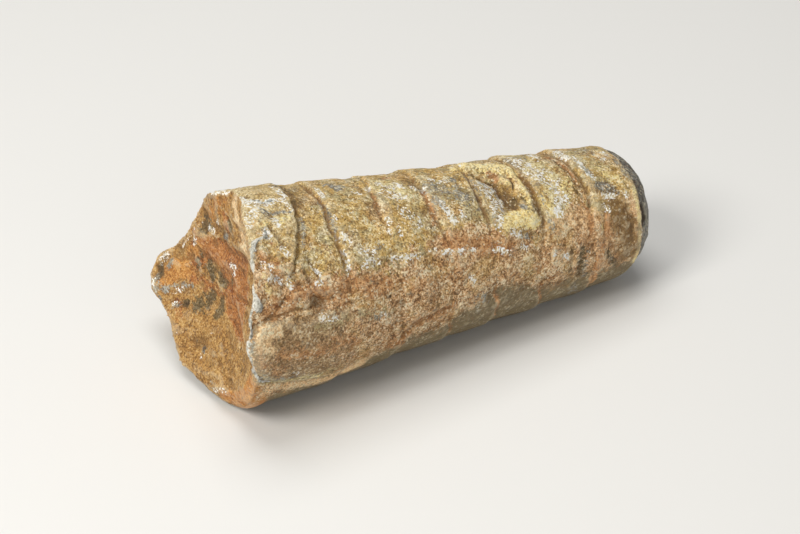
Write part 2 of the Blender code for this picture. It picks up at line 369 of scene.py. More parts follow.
def face_share(stone):
    """1 on the broken face, 0 on the flank and the dome."""
    facing = -(stone.normal @ AXIS)
    return smooth_step(0.45, 0.7, facing) * smooth_step(-2.0, -6.0, stone.t)


def band(distance, half_width, softness):
    return 1.0 - smooth_step(half_width - softness, half_width + softness, distance)


def carve_sutures(stone, ragged, jagged, uneven):
    amount = np.zeros(len(stone.t))
    flank = (1.0 - face_share(stone)) * np.clip(1.0 + 0.6 * uneven, 0.25, 1.8)
    low = flank * between(np.abs(stone.angle), 90, 112, 150, 175)
    for bends, depth, width, dip, lip, fade_angle, rest in SUTURES:
        share = flank * groove_share(stone, fade_angle, rest)
        past = suture_line(stone, bends) + 0.22 * ragged + 0.12 * jagged
        amount -= depth * share * ridge(past, width)
        wide = np.maximum(share, 0.3 * flank)
        amount -= dip * wide * between(past, -3.2, 0.0, 0.0, 0.45)
        amount += lip * share * between(past, 0.1, 0.5, 0.8, 3.5)
        amount += 0.12 * share * ridge(past + 0.6, 0.28)
        # low on the stone each chamber ends proud and the next one starts stepped in
        before = between(past, -4.5, -0.7, -0.25, 0.1)
        after = between(past, -0.25, 0.1, 0.6, 4.5)
        amount += LOW_STEP * low * (before - after)
    stone.move(amount)


def layer_inside(stone, ragged):
    """How far inside the edge of the upper layer each vertex lies, in mm."""
    angles, places = zip(*LAYER_EDGE)
    edge = np.interp(stone.angle, angles, places, left=-30.0, right=-30.0)
    return edge - stone.t + 0.35 * ragged


def plate_inside(stone, ragged):
    """How far inside the edges of the lower front plate each vertex lies, in mm."""
    arc = np.pi / 180.0 * cone_radius(stone.t)
    top = np.interp(stone.t, *zip(*PLATE_TOP))
    bottom = np.interp(stone.t, *zip(*PLATE_BOTTOM))
    inside = np.minimum((stone.angle - top) * arc, (bottom - stone.angle) * arc)
    return inside + 0.2 * ragged


def carve_layer_and_plate(stone, ragged):
    flank = 1.0 - face_share(stone)
    inside = layer_inside(stone, ragged)
    amount = LAYER_HEIGHT * flank * smooth_step(-0.15, 0.35, inside)
    amount -= LAYER_GROOVE * flank * ridge(inside + 0.35, 0.3) * smooth_step(2, 14, stone.angle)
    inside = plate_inside(stone, ragged)
    fading = 1.0 - smooth_step(-6.0, 5.0, stone.t)
    amount += fading * PLATE_HEIGHT * smooth_step(0.0, 1.3, inside)
    amount -= fading * PLATE_GROOVE * ridge(inside + 0.1, 0.22)
    stone.move(amount)


def carve_marks(stone, ragged):
    face = face_share(stone)
    amount = np.zeros(len(stone.t))
    for marks, where, wobble, share in (
        (FLANK_MARKS, on_flank, 0.18, 1.0 - face),
        (FACE_MARKS, on_face, 0.25, face),
    ):
        for points, half_width, softness, height in marks:
            distance = where(stone, points) + wobble * ragged
            amount += height * share * band(distance, half_width, softness)
    # the dome steps in behind the edge of its wall
    amount -= DOME_STEP * smooth_step(50.6, 51.0, stone.t) * smooth_step(-8.2, 3.2, stone.front)
    stone.move(amount)
    # and stands out fully at its top
    toward_top = stone.radius * np.cos(np.radians(stone.turn_from(TOP_ANGLE)))
    crown = smooth_step(49.6, 52.4, stone.t) * smooth_step(2.5, 7.3, toward_top)
    stone.move(CROWN_REACH * crown, AXIS)


def weigh(piece, name, weights):
    """A vertex group with those weights, in steps of a twentieth."""
    group = piece.vertex_groups.new(name=name)
    steps = np.round(np.clip(weights, 0.0, 1.0) * 20).astype(int)
    for step in range(1, 21):
        chosen = np.flatnonzero(steps == step)
        if len(chosen):
            group.add(chosen.tolist(), step / 20, "REPLACE")
    return name


def roughen(piece, name, kind, size, height, group="", bedding=1.0, **settings):
    """Push the surface in and out by lumps of that size and height in mm, drawn out from front to back."""
    texture = bpy.data.textures.new(name, kind)
    texture.noise_scale = size * MM
    for key, value in settings.items():
        setattr(texture, key, value)
    beds = bpy.data.objects.new("beds", None)
    beds.scale = (1.0, bedding, 1.0)
    bpy.context.scene.collection.objects.link(beds)
    bpy.context.view_layer.update()
    apply_modifier(
        piece,
        "DISPLACE",
        texture=texture,
        texture_coords="OBJECT",
        texture_coords_object=beds,
        strength=height * MM,
        mid_level=0.5,
        vertex_group=group,
    )
    bpy.data.objects.remove(beds)


def roughen_all(piece, stone, ragged):
    """The grain of each zone, as a sculptor would stamp it."""
    face = face_share(stone)
    flank = (1.0 - face) * between(stone.angle, 45, 60, 112, 135)
    plate = smooth_step(0.0, 0.6, plate_inside(stone, ragged)) * (1.0 - smooth_step(-6.0, 4.0, stone.t))
    rim_front = (1.0 - face) * band(np.abs(stone.t + 10.0), 4.5, 2.0) * between(stone.angle, -5, 15, 62, 72)
    top = (1.0 - face) * (1.0 - smooth_step(45, 60, np.abs(stone.angle)))
    hidden = (1.0 - face) * smooth_step(50, 80, -stone.angle)
    below = smooth_step(112, 135, np.abs(stone.angle))
    weigh(piece, "face", face)
    weigh(piece, "flank", np.maximum(flank * (1.0 - 0.6 * plate), 0.6 * hidden * (1.0 - 0.6 * below)))
    weigh(piece, "rim_front", rim_front)
    weigh(piece, "top", top)
    weigh(piece, "all_but_plate", 1.0 - 0.8 * np.maximum(plate, 0.7 * below * (1.0 - face)))
    clouds, flakes = "CLOUDS", "VORONOI"
    for name, kind, size, height, zone, bedding, depth in (
        ("broad_lumps", clouds, 5.0, 0.45, "all_but_plate", 1.0, 1),
        ("face_breaks", flakes, 3.4, 0.75, "face", 2.4, 0),
        ("face_lumps", clouds, 1.6, 0.55, "face", 2.4, 2),
        ("face_grain", clouds, 0.7, 0.25, "face", 2.2, 2),
        ("rim_chips", flakes, 2.6, 0.5, "rim_front", 1.0, 0),
        ("rim_lumps", clouds, 1.5, 0.4, "rim_front", 1.0, 2),
        ("flank_grain", clouds, 0.8, 0.3, "flank", 1.0, 2),
        ("flank_lumps", clouds, 2.0, 0.45, "flank", 1.0, 2),
        ("top_flakes", flakes, 2.2, 0.22, "top", 1.0, 0),
        ("top_grain", clouds, 0.9, 0.2, "top", 1.0, 2),
    ):
        settings = {"noise_depth": depth} if kind == clouds else {}
        roughen(piece, name, kind, size, height, zone, bedding, **settings)
    piece.vertex_groups.clear()


def hollows(piece, rounds):
    """How far each vertex stands above the surface smoothed over that many rounds, in mm."""
    mesh = piece.data
    pairs = np.zeros(len(mesh.edges) * 2, dtype=np.int64)
    mesh.edges.foreach_get("vertices", pairs)
    first, second = pairs.reshape(-1, 2).T
    count = len(mesh.vertices)
    co = np.zeros(count * 3)
    mesh.vertices.foreach_get("co", co)
    co = co.reshape(-1, 3) / MM
    normal = np.zeros(count * 3)
    mesh.vertex_normals.foreach_get("vector", normal)
    degree = np.bincount(first, minlength=count) + np.bincount(second, minlength=count)
    smooth = co.copy()
    for _ in range(rounds):
        total = np.zeros_like(smooth)
        for axis in range(3):
            total[:, axis] = np.bincount(first, weights=smooth[second, axis], minlength=count)
            total[:, axis] += np.bincount(second, weights=smooth[first, axis], minlength=count)
        smooth = 0.5 * smooth + 0.5 * total / degree[:, None]
    return ((co - smooth) * normal.reshape(-1, 3)).sum(axis=1)


def soften(piece, weights, rounds):
    group = weigh(piece, "softened", weights)
    apply_modifier(piece, "SMOOTH", factor=0.5, iterations=rounds, vertex_group=group)
    piece.vertex_groups.clear()


def rim_share(stone, reach):
    """1 along the rim between the broken face and the flank, 0 away from it."""
    from_rim = np.abs(stone.radius - cone_radius(stone.t))
    return band(from_rim, reach, 1.0) * smooth_step(-8.0, -10.0, stone.t)


def soften_rim(piece, stone):
    """Wear the lower rim round, and take the sharpness and the folds off the rest of the break."""
    low = between(stone.angle, 106, 118, 150, 175)
    near_rim = np.minimum(rim_share(stone, 5.5), smooth_step(-8.0, -11.0, stone.t))
    soften(piece, near_rim * low, 300)
    # the worn lip bulges, and the far tip keeps its full reach
    stone.read()
    swelling = between(stone.angle, 104, 122, 160, 178)
    from_lip = np.hypot(stone.t - LIP_PLACE[0], stone.radius - LIP_PLACE[1])
    stone.move(LIP_SWELLING * swelling * (1.0 - smooth_step(0.6, 4.5, from_lip)))
    outward = stone.front[:, None] * FRONT + stone.up[:, None] * AXIS_UP
    from_tip = on_face(stone, [(-19.0, -4.6), (-17.8, -8.2)])
    tip = (1.0 - smooth_step(0.6, 3.4, from_tip)) * smooth_step(-9.0, -12.0, stone.t)
    stone.move(TIP_REACH * tip, outward / stone.radius[:, None])
    hollow = face_share(stone) * band(on_face(stone, [(1.0, 0.0), (11.0, -2.0)]), 6.0, 2.0)
    soften(piece, hollow, 180)
    soften(piece, rim_share(stone, 1.5), 6)
    stone.read()


def carve(piece):
    stone = Stone(piece)
    soften_rim(piece, stone)
    ragged = stone.noise(1.6, 1)
    uneven = stone.noise(4.0, 2)
    jagged = stone.noise(0.7, 3)
    carve_sutures(stone, ragged, jagged, uneven)
    carve_layer_and_plate(stone, ragged)
    carve_marks(stone, ragged)
    roughen_all(piece, stone, ragged)
    stone.read()
    standing = np.abs(hollows(piece, 4))
    soften(piece, smooth_step(0.14, 0.22, standing), 12)
    from_under_tip = np.abs(stone.turn_from(UNDER_TIP_ANGLE))
    under_tip = smooth_step(-11.0, -12.5, stone.t) * band(from_under_tip, 36.0, 6.0)
    soften(piece, under_tip * smooth_step(0.02, 0.07, np.abs(hollows(piece, 12))), 40)
    stone.read()
    stone.settle()
    return stone


# ---------------------------------------------------------------- paint
# Where each stain, and each painted shade, lies: strokes as (points, half width, softness, strength), the
# points being (mm along the axis, degrees) on the flank and (mm to the front, mm up) on the broken face.
WHITE_CRUST = [
    # on the upper layer and along its edge
    ([(-9.5, -34), (-7.5, -30), (-5.7, -28)], 0.7, 0.6, 0.7),
    ([(-10.8, -5), (-10.4, 2), (-9.8, 4)], 0.8, 0.5, 1.0),
    ([(-9.0, 4), (-8.0, 5), (-6.4, 4)], 0.55, 0.4, 0.95),
    ([(-5.2, 4), (-4.7, 7), (-4.8, 11)], 0.5, 0.5, 0.8),
    ([(-4.4, -14), (-4.5, -5), (-4.5, 2)], 0.45, 0.4, 0.7),
    ([(-9.8, 8), (-10.6, 11), (-11.6, 14), (-12.3, 18)], 0.55, 0.6, 0.75),
    ([(-8.2, 16), (-8.1, 21)], 0.4, 0.3, 0.9),
    ([(-10.2, 23), (-10.3, 28)], 0.6, 0.35, 1.0),
    ([(-8.9, 35), (-8.6, 38)], 0.4, 0.3, 0.9),
    ([(-12.6, 41), (-11.6, 43)], 0.5, 0.5, 0.5),
    ([(-12.0, 49), (-10.6, 51)], 0.5, 0.4, 0.7),
    ([(-9.2, 51), (-9.3, 55)], 0.4, 0.4, 0.7),
    # beside the first sutures
    ([(1.6, -6), (1.2, 4)], 0.35, 0.4, 0.7),
    ([(0.9, 19), (0.9, 24)], 0.3, 0.3, 0.5),
    ([(-0.2, 32), (0.1, 35)], 0.4, 0.4, 0.6),
    ([(1.1, 33), (1.3, 38)], 0.5, 0.4, 0.8),
    ([(0.0, 42), (0.3, 49), (0.1, 53), (-0.3, 56)], 0.25, 0.25, 1.0),
    ([(-5.4, 47), (-4.4, 52), (-4.5, 58)], 0.22, 0.2, 1.0),
    ([(-5.1, 56), (-4.9, 57)], 0.35, 0.3, 0.8),
    ([(2.6, 53), (3.6, 51), (4.6, 53)], 0.5, 0.6, 0.7),
    ([(2.6, 45), (4.8, 47)], 0.4, 0.4, 0.6),
    ([(8.5, 29), (8.6, 31)], 0.35, 0.3, 0.9),
    ([(8.1, 36), (8.0, 38)], 0.3, 0.3, 0.8),
    ([(9.7, 36), (9.6, 40)], 0.3, 0.3, 0.6),
    # flecks on top
    ([(6.4, 2), (7.0, 4)], 0.4, 0.3, 0.7),
    ([(8.3, -1), (9.0, 1)], 0.35, 0.3, 0.9),
    ([(10.8, -2), (12.4, 4)], 0.35, 0.3, 1.0),
    ([(13.2, 0), (14.0, 6)], 0.4, 0.35, 1.0),
    ([(15.6, 4), (16.2, 9), (17.1, 9)], 0.35, 0.3, 0.9),
    ([(18.6, 1), (20.0, 6), (21.2, 5)], 0.35, 0.3, 0.8),
    ([(18.0, 25), (18.4, 30), (18.5, 38)], 0.55, 0.45, 0.9),
    ([(20.2, 33), (20.4, 37)], 0.4, 0.4, 0.7),
    ([(24.6, -12), (25.2, -9)], 0.4, 0.3, 0.7),
    ([(10.4, 8), (12.6, 14)], 1.0, 0.9, 0.45),
    ([(11.5, 24), (13.0, 34)], 1.0, 0.9, 0.4),
    ([(34.2, -8), (34.6, 2), (35.2, 10), (36.4, 20)], 1.3, 1.0, 0.5),
    # the tongue beside the lost flake
    ([(25.3, 12.5), (26.4, 11.5), (27.4, 11.5), (28.2, 16)], 0.5, 0.35, 1.0),
    ([(26.0, 17), (27.2, 21)], 0.7, 0.6, 0.75),
    ([(28.0, 20), (28.2, 27), (27.4, 36)], 0.45, 0.4, 0.9),
    ([(26.2, 26), (26.8, 30)], 0.7, 0.6, 0.6),
    ([(25.6, 36), (26.0, 42), (25.5, 48)], 0.6, 0.6, 0.7),
    ([(27.6, 53), (28.6, 57)], 0.6, 0.5, 0.6),
    # the sixth chamber
    ([(38.3, -15), (38.0, -6)], 0.7, 0.6, 0.6),
    ([(34.2, 5), (34.4, 15), (34.7, 20)], 0.6, 0.5, 0.65),
    ([(37.4, 9), (37.9, 13)], 0.4, 0.4, 0.7),
    ([(36.6, 28), (37.1, 32)], 0.45, 0.4, 0.9),
    ([(38.8, 22), (37.8, 25)], 0.45, 0.4, 0.8),
    ([(37.8, 35), (38.1, 38)], 0.9, 0.5, 0.8),
    ([(37.0, 38), (36.4, 43), (36.1, 48)], 0.8, 0.5, 0.9),
    # the ledge of the last chamber and its top
    ([(42.6, -16), (42.4, -6), (42.8, 1)], 0.5, 0.3, 1.0),
    ([(43.4, 3), (43.4, 10), (43.5, 17)], 0.45, 0.4, 0.9),
    ([(43.9, 21), (44.2, 26)], 0.5, 0.35, 1.0),
    ([(49.3, -4), (49.6, 1)], 0.5, 0.4, 0.7),
    ([(47.8, 3), (48.2, 7)], 0.5, 0.5, 0.6),
    ([(44.8, 42), (45.4, 44), (46.6, 43)], 0.45, 0.4, 0.9),
    ([(48.5, 44), (48.7, 47)], 0.35, 0.3, 0.8),
    ([(44.2, 51), (44.8, 54)], 0.5, 0.4, 0.6),
    ([(50.6, -40), (50.9, 0), (51.0, 30), (50.9, 60), (51.0, 90), (50.8, 110)], 0.16, 0.2, 0.6),
    # on the far side
    ([(-4.0, -62), (-3.4, -54)], 0.6, 0.5, 0.7),
    ([(10.0, -74), (9.9, -62), (10.6, -56)], 0.4, 0.4, 0.8),
    ([(14.2, -66), (15.8, -60), (16.8, -58)], 0.5, 0.5, 0.6),
    ([(26.0, -70), (28.4, -64), (30.2, -66)], 0.5, 0.5, 0.7),
    ([(33.8, -84), (34.0, -70)], 0.4, 0.4, 0.7),
    ([(42.6, -72), (43.4, -60), (44.8, -56)], 0.6, 0.5, 0.7),
    ([(4.0, -96), (5.4, -90)], 0.5, 0.5, 0.5),
    ([(20.6, -104), (21.6, -96)], 0.5, 0.5, 0.5),
    ([(-9.0, -98), (-8.2, -88)], 0.5, 0.5, 0.6),
    # the dotted seam on the flank
    ([(7.2, 52), (7.9, 53)], 0.3, 0.3, 0.8),
    ([(8.9, 53), (9.6, 55), (10.1, 54)], 0.4, 0.45, 0.85),
    ([(10.8, 54), (11.4, 55)], 0.35, 0.35, 0.9),
    ([(13.6, 53), (14.4, 53)], 0.3, 0.3, 0.8),
    ([(15.6, 56), (16.8, 57)], 0.35, 0.4, 0.85),
    ([(18.0, 58), (18.6, 58)], 0.4, 0.35, 0.9),
    ([(20.0, 59), (20.6, 59)], 0.35, 0.35, 0.9),
    ([(23.9, 62), (25.0, 64), (26.3, 67)], 0.4, 0.4, 0.8),
    ([(28.8, 65), (29.6, 67)], 0.4, 0.4, 0.8),
    ([(34.0, 74), (34.2, 77)], 0.3, 0.3, 0.8),
    ([(36.3, 80), (36.6, 83)], 0.4, 0.35, 0.7),
    ([(19.6, 76), (20.2, 80)], 0.4, 0.4, 0.5),
    ([(-5.8, 74), (-4.4, 76), (-3.2, 77)], 0.6, 0.6, 0.4),
    ([(4.6, 84), (5.4, 88)], 0.5, 0.5, 0.28),
    ([(-8.9, 106), (-8.6, 108)], 0.3, 0.25, 0.9),
]
FACE_CRUST = [
    ([(-13.6, 1.2), (-13.3, 2.2)], 0.45, 0.35, 0.66),
    ([(-19.2, -4.4), (-18.2, -3.0)], 0.5, 0.4, 0.66),
    ([(-18.6, -6.9), (-18.2, -7.4)], 0.35, 0.3, 0.74),
    ([(-14.0, -6.4), (-12.6, -5.5)], 0.4, 0.4, 0.57),
    ([(-13.0, -7.8), (-12.4, -7.4)], 0.35, 0.3, 0.49),
    ([(-10.8, 5.2), (-9.2, 5.5)], 0.45, 0.4, 0.57),
    ([(-8.6, 7.2), (-7.8, 8.3)], 0.35, 0.4, 0.57),
    ([(-2.9, 3.4), (-1.8, 3.8)], 0.45, 0.4, 0.66),
    ([(-1.6, 3.0), (-2.0, 2.6)], 0.4, 0.35, 0.57),
    ([(-9.8, 11.7), (-7.9, 12.8), (-7.0, 12.9)], 0.45, 0.35, 1.0),
    ([(-16.3, -0.8), (-14.6, 2.4), (-13.2, 4.6)], 0.25, 0.3, 0.33),
    ([(-8.8, -9.9), (-6.8, -8.8)], 0.15, 0.25, 0.28),
    ([(-3.4, -7.5), (-0.9, -5.8)], 0.15, 0.25, 0.25),
    ([(-4.9, -11.3), (-3.0, -10.2), (-0.1, -8.9)], 0.15, 0.25, 0.23),
    ([(-3.0, -10.5), (-2.8, -10.8)], 0.22, 0.2, 0.66),
    ([(2.8, -12.4), (4.1, -11.8), (5.6, -11.2)], 0.4, 0.5, 0.57),
]
GREY = [
    # on the far side
    ([(0.6, -60), (2.6, -66)], 1.2, 1.0, 0.6),
    ([(22.4, -64), (23.4, -56)], 1.2, 1.0, 0.7),
    ([(39.0, -70), (40.6, -62)], 1.2, 1.0, 0.6),
    ([(12.0, -112), (15.0, -108)], 1.4, 1.2, 0.5),
    ([(-9.1, 10), (-8.0, 13), (-6.6, 13), (-5.2, 14)], 0.28, 0.25, 1.0),
    ([(-9.0, 10), (-8.5, 12)], 0.55, 0.35, 1.0),
    ([(-3.9, 17), (-4.4, 27), (-5.6, 35)], 0.35, 0.4, 0.7),
    ([(-13.0, 31), (-13.4, 36)], 0.6, 0.4, 0.8),
    ([(-16.5, 76), (-16.8, 84)], 0.5, 0.35, 1.0),
    ([(-16.6, 86), (-16.2, 95), (-15.0, 104)], 0.3, 0.3, 0.6),
    ([(0.2, 8), (0.3, 15), (0.2, 23), (0.0, 28)], 0.6, 0.4, 0.75),
    ([(4.0, -10), (4.6, -4)], 1.0, 0.8, 0.8),
    ([(5.0, 46), (6.6, 42)], 0.5, 0.5, 0.5),
    ([(17.2, 21), (17.8, 24)], 0.7, 0.45, 1.0),
    ([(18.0, 10), (20.5, 16), (22.6, 24)], 1.6, 1.2, 0.62),
    ([(21.8, 5), (22.6, 10)], 0.9, 0.7, 0.7),
    ([(24.6, 0), (24.9, 13), (24.6, 22)], 0.5, 0.4, 0.8),
    ([(23.6, 27), (23.6, 34)], 0.5, 0.5, 0.5),
    ([(26.4, 16), (26.8, 26), (26.2, 36), (25.4, 46)], 0.9, 0.8, 0.62),
    ([(28.2, 30), (28.6, 27)], 0.5, 0.4, 0.7),
    ([(30.8, 36.5), (31.0, 38.5)], 0.4, 0.3, 1.0),
    ([(28.2, 56), (30.4, 59)], 0.7, 0.6, 0.7),
    ([(34.0, 30), (34.2, 42), (34.2, 52)], 0.4, 0.5, 0.5),
    ([(37.2, 42), (36.6, 46)], 0.35, 0.3, 0.7),
    ([(38.6, -18), (36.0, -12), (34.4, -4)], 1.2, 1.0, 0.5),
    ([(44.2, 18), (44.3, 25)], 0.45, 0.35, 0.9),
    ([(44.7, 34), (45.8, 35), (46.6, 40)], 0.9, 0.7, 0.85),
    ([(46.0, -14), (47.0, -4)], 1.6, 1.2, 0.5),
    ([(50.0, 8), (50.4, 20), (50.4, 30)], 0.7, 0.6, 0.6),
    ([(39.3, 118), (40.2, 126)], 1.0, 0.9, 0.5),
    ([(40.6, 84), (40.3, 94), (40.6, 106)], 0.4, 0.5, 0.7),
    ([(34.1, 53), (34.5, 58)], 0.5, 0.5, 0.7),
    ([(21.4, 92), (21.8, 102)], 1.3, 1.0, 0.45),
    ([(-14.5, 101), (-12.0, 107), (-8.0, 110)], 0.7, 0.6, 0.6),
    ([(3.5, 84), (4.5, 86)], 1.0, 0.8, 0.45),
    ([(-9.3, 106), (-9.1, 107)], 0.4, 0.3, 1.0),
]
SHELL = [
    ([(-10.3, 23), (-10.5, 27), (-12.2, 28), (-13.3, 32)], 0.2, 0.2, 0.95),
    ([(-13.3, 32), (-13.8, 38), (-14.3, 44), (-14.9, 52), (-15.0, 57)], 0.22, 0.22, 0.8),
    ([(-12.8, 29), (-13.0, 32)], 0.35, 0.3, 0.9),
    ([(-15.2, 56), (-14.9, 59), (-14.6, 61)], 0.7, 0.4, 1.0),
    ([(-15.6, 62), (-16.2, 66)], 0.2, 0.2, 0.8),
    ([(-16.4, 66), (-16.5, 75)], 0.5, 0.3, 1.0),
    ([(-16.6, 77), (-16.7, 80)], 0.2, 0.2, 0.9),
    ([(25.8, 12.5), (27.2, 11), (28.2, 14.5)], 0.28, 0.25, 0.8),
    ([(17.6, 26), (18.0, 30)], 0.3, 0.3, 0.7),
    ([(-9.6, 1), (-8.2, 4), (-6.8, 4)], 0.28, 0.3, 0.7),
    ([(43.2, 8), (43.6, 16), (44.0, 23)], 0.3, 0.3, 0.7),
    ([(-16.8, 82), (-16.4, 90), (-15.6, 98), (-14.4, 105), (-12.8, 109)], 0.22, 0.22, 0.9),
]
# Brown, partly the stone's own umber and partly painted shade: in the pit, in the sutures' grooves, in the
# trough of the lost flake and over the front of the last chamber.
BROWN_AND_SHADE = [
    ([(46.0, 56), (47.4, 72), (48.2, 92)], 2.4, 2.2, 0.95),
    ([(48.8, 66), (49.6, 74), (50.2, 76)], 0.8, 0.8, 0.7),
    ([(-5.5, 67), (-4.8, 69)], 0.5, 0.9, 0.5),
    ([(-3.2, -8), (-3.0, 2), (-3.4, 12)], 1.2, 1.0, 0.6),
    ([(33.0, 0), (33.1, 20), (33.0, 40), (33.1, 52)], 0.5, 0.5, 0.8),
    ([(40.2, -14), (41.0, 0), (41.6, 18), (41.6, 30)], 0.8, 0.7, 0.6),
    ([(28.8, 11), (28.9, 18), (29.3, 25), (29.0, 32)], 0.45, 0.4, 1.0),
    ([(29.8, 20), (30.3, 27)], 0.7, 0.6, 0.6),
    ([(25.4, 2), (26.5, 4), (27.6, 7), (28.9, 9)], 0.35, 0.35, 1.0),
    ([(15.2, 26), (15.0, 34), (15.4, 42)], 1.0, 0.9, 0.5),
    ([(-12.0, 98), (-8.0, 106), (-4.0, 109)], 1.0, 1.0, 0.35),
    ([(-12.4, 84), (-11.8, 92)], 0.7, 0.6, 0.6),
    ([(10.0, 100), (14.0, 99)], 1.5, 1.2, 0.5),
]
FACE_GREY = [
    ([(-6.2, 6.4), (-5.2, 6.8)], 0.65, 0.35, 1.0),
    ([(-18.6, -6.8), (-17.0, -7.6), (-15.3, -6.7)], 0.6, 0.6, 0.9),
    ([(-15.3, -6.6), (-13.4, -5.1), (-10.9, -4.1)], 0.5, 0.6, 0.75),
    ([(-17.2, -4.3), (-16.8, -3.0)], 0.5, 0.4, 0.8),
    ([(-17.0, -7.9), (-15.2, -8.8), (-13.8, -9.2)], 0.35, 0.4, 0.7),
    ([(-12.9, -7.8), (-12.2, -7.4)], 0.5, 0.4, 0.7),
    ([(-3.0, -10.0), (-3.4, -9.7)], 0.35, 0.3, 1.0),
    ([(1.6, -12.4), (5.4, -11.4)], 0.4, 0.4, 0.5),
]
FACE_OLIVE = [
    ([(-8.9, 0.0), (-7.2, -0.8)], 0.7, 0.9, 0.95),
    ([(-6.3, 0.2), (-5.0, -0.6), (-3.9, 0.0)], 0.45, 0.6, 0.95),
    ([(-8.6, -5.6), (-7.0, -4.9), (-6.3, -3.6)], 0.9, 1.2, 0.95),
    ([(-3.9, -2.8), (-3.3, -4.0), (-4.0, -5.0)], 0.55, 0.6, 1.0),
    ([(-18.8, -5.2), (-18.3, -6.2)], 0.55, 0.4, 1.0),
    ([(-11.2, -6.9), (-10.6, -6.6)], 0.45, 0.3, 1.0),
    ([(-2.2, 0.9), (-2.6, 2.0)], 0.4, 0.35, 0.7),
    ([(-11.6, 0.6), (-11.0, -0.8)], 0.8, 0.7, 0.4),
    ([(-12.5, 5.6), (-12.2, 4.2), (-10.6, 5.6)], 0.9, 0.8, 0.75),
    ([(-4.8, 9.4), (-3.8, 9.0)], 0.5, 0.4, 0.7),
]
OLIVE = [
    # dark bands beside the last two sutures and over the lost flake
    ([(40.6, -8), (41.0, 8), (41.0, 22), (40.6, 34)], 0.55, 0.5, 0.55),
    ([(44.0, 88), (44.8, 94), (46.0, 103)], 0.45, 1.1, 0.9),
    ([(46.4, 98), (47.4, 103)], 0.3, 0.9, 0.6),
    ([(37.6, 78), (37.4, 90), (37.2, 98)], 0.5, 0.5, 0.5),
    ([(39.6, 80), (39.3, 92), (39.8, 102)], 0.7, 0.7, 0.7),
    ([(44.4, 33), (45.3, 40), (46.4, 38)], 0.8, 0.7, 0.6),
    ([(48.6, 64), (48.8, 78)], 0.4, 0.5, 0.6),
    ([(29.4, 22), (30.1, 29), (29.4, 35)], 0.8, 0.7, 0.7),
    ([(31.2, 30), (32.2, 35), (32.3, 42)], 0.5, 0.5, 0.6),
    ([(24.4, 4), (24.3, 16), (24.0, 28)], 0.35, 0.35, 0.6),
    ([(33.2, -14), (33.2, 0)], 0.4, 0.3, 0.6),
    ([(16.0, -4), (16.0, 8)], 0.5, 0.5, 0.5),
    ([(-3.4, -20), (-3.2, -6), (-3.2, 8)], 0.7, 0.6, 0.5),
    ([(-12.6, 80), (-11.8, 88), (-12.0, 94)], 0.6, 0.7, 0.3),
]
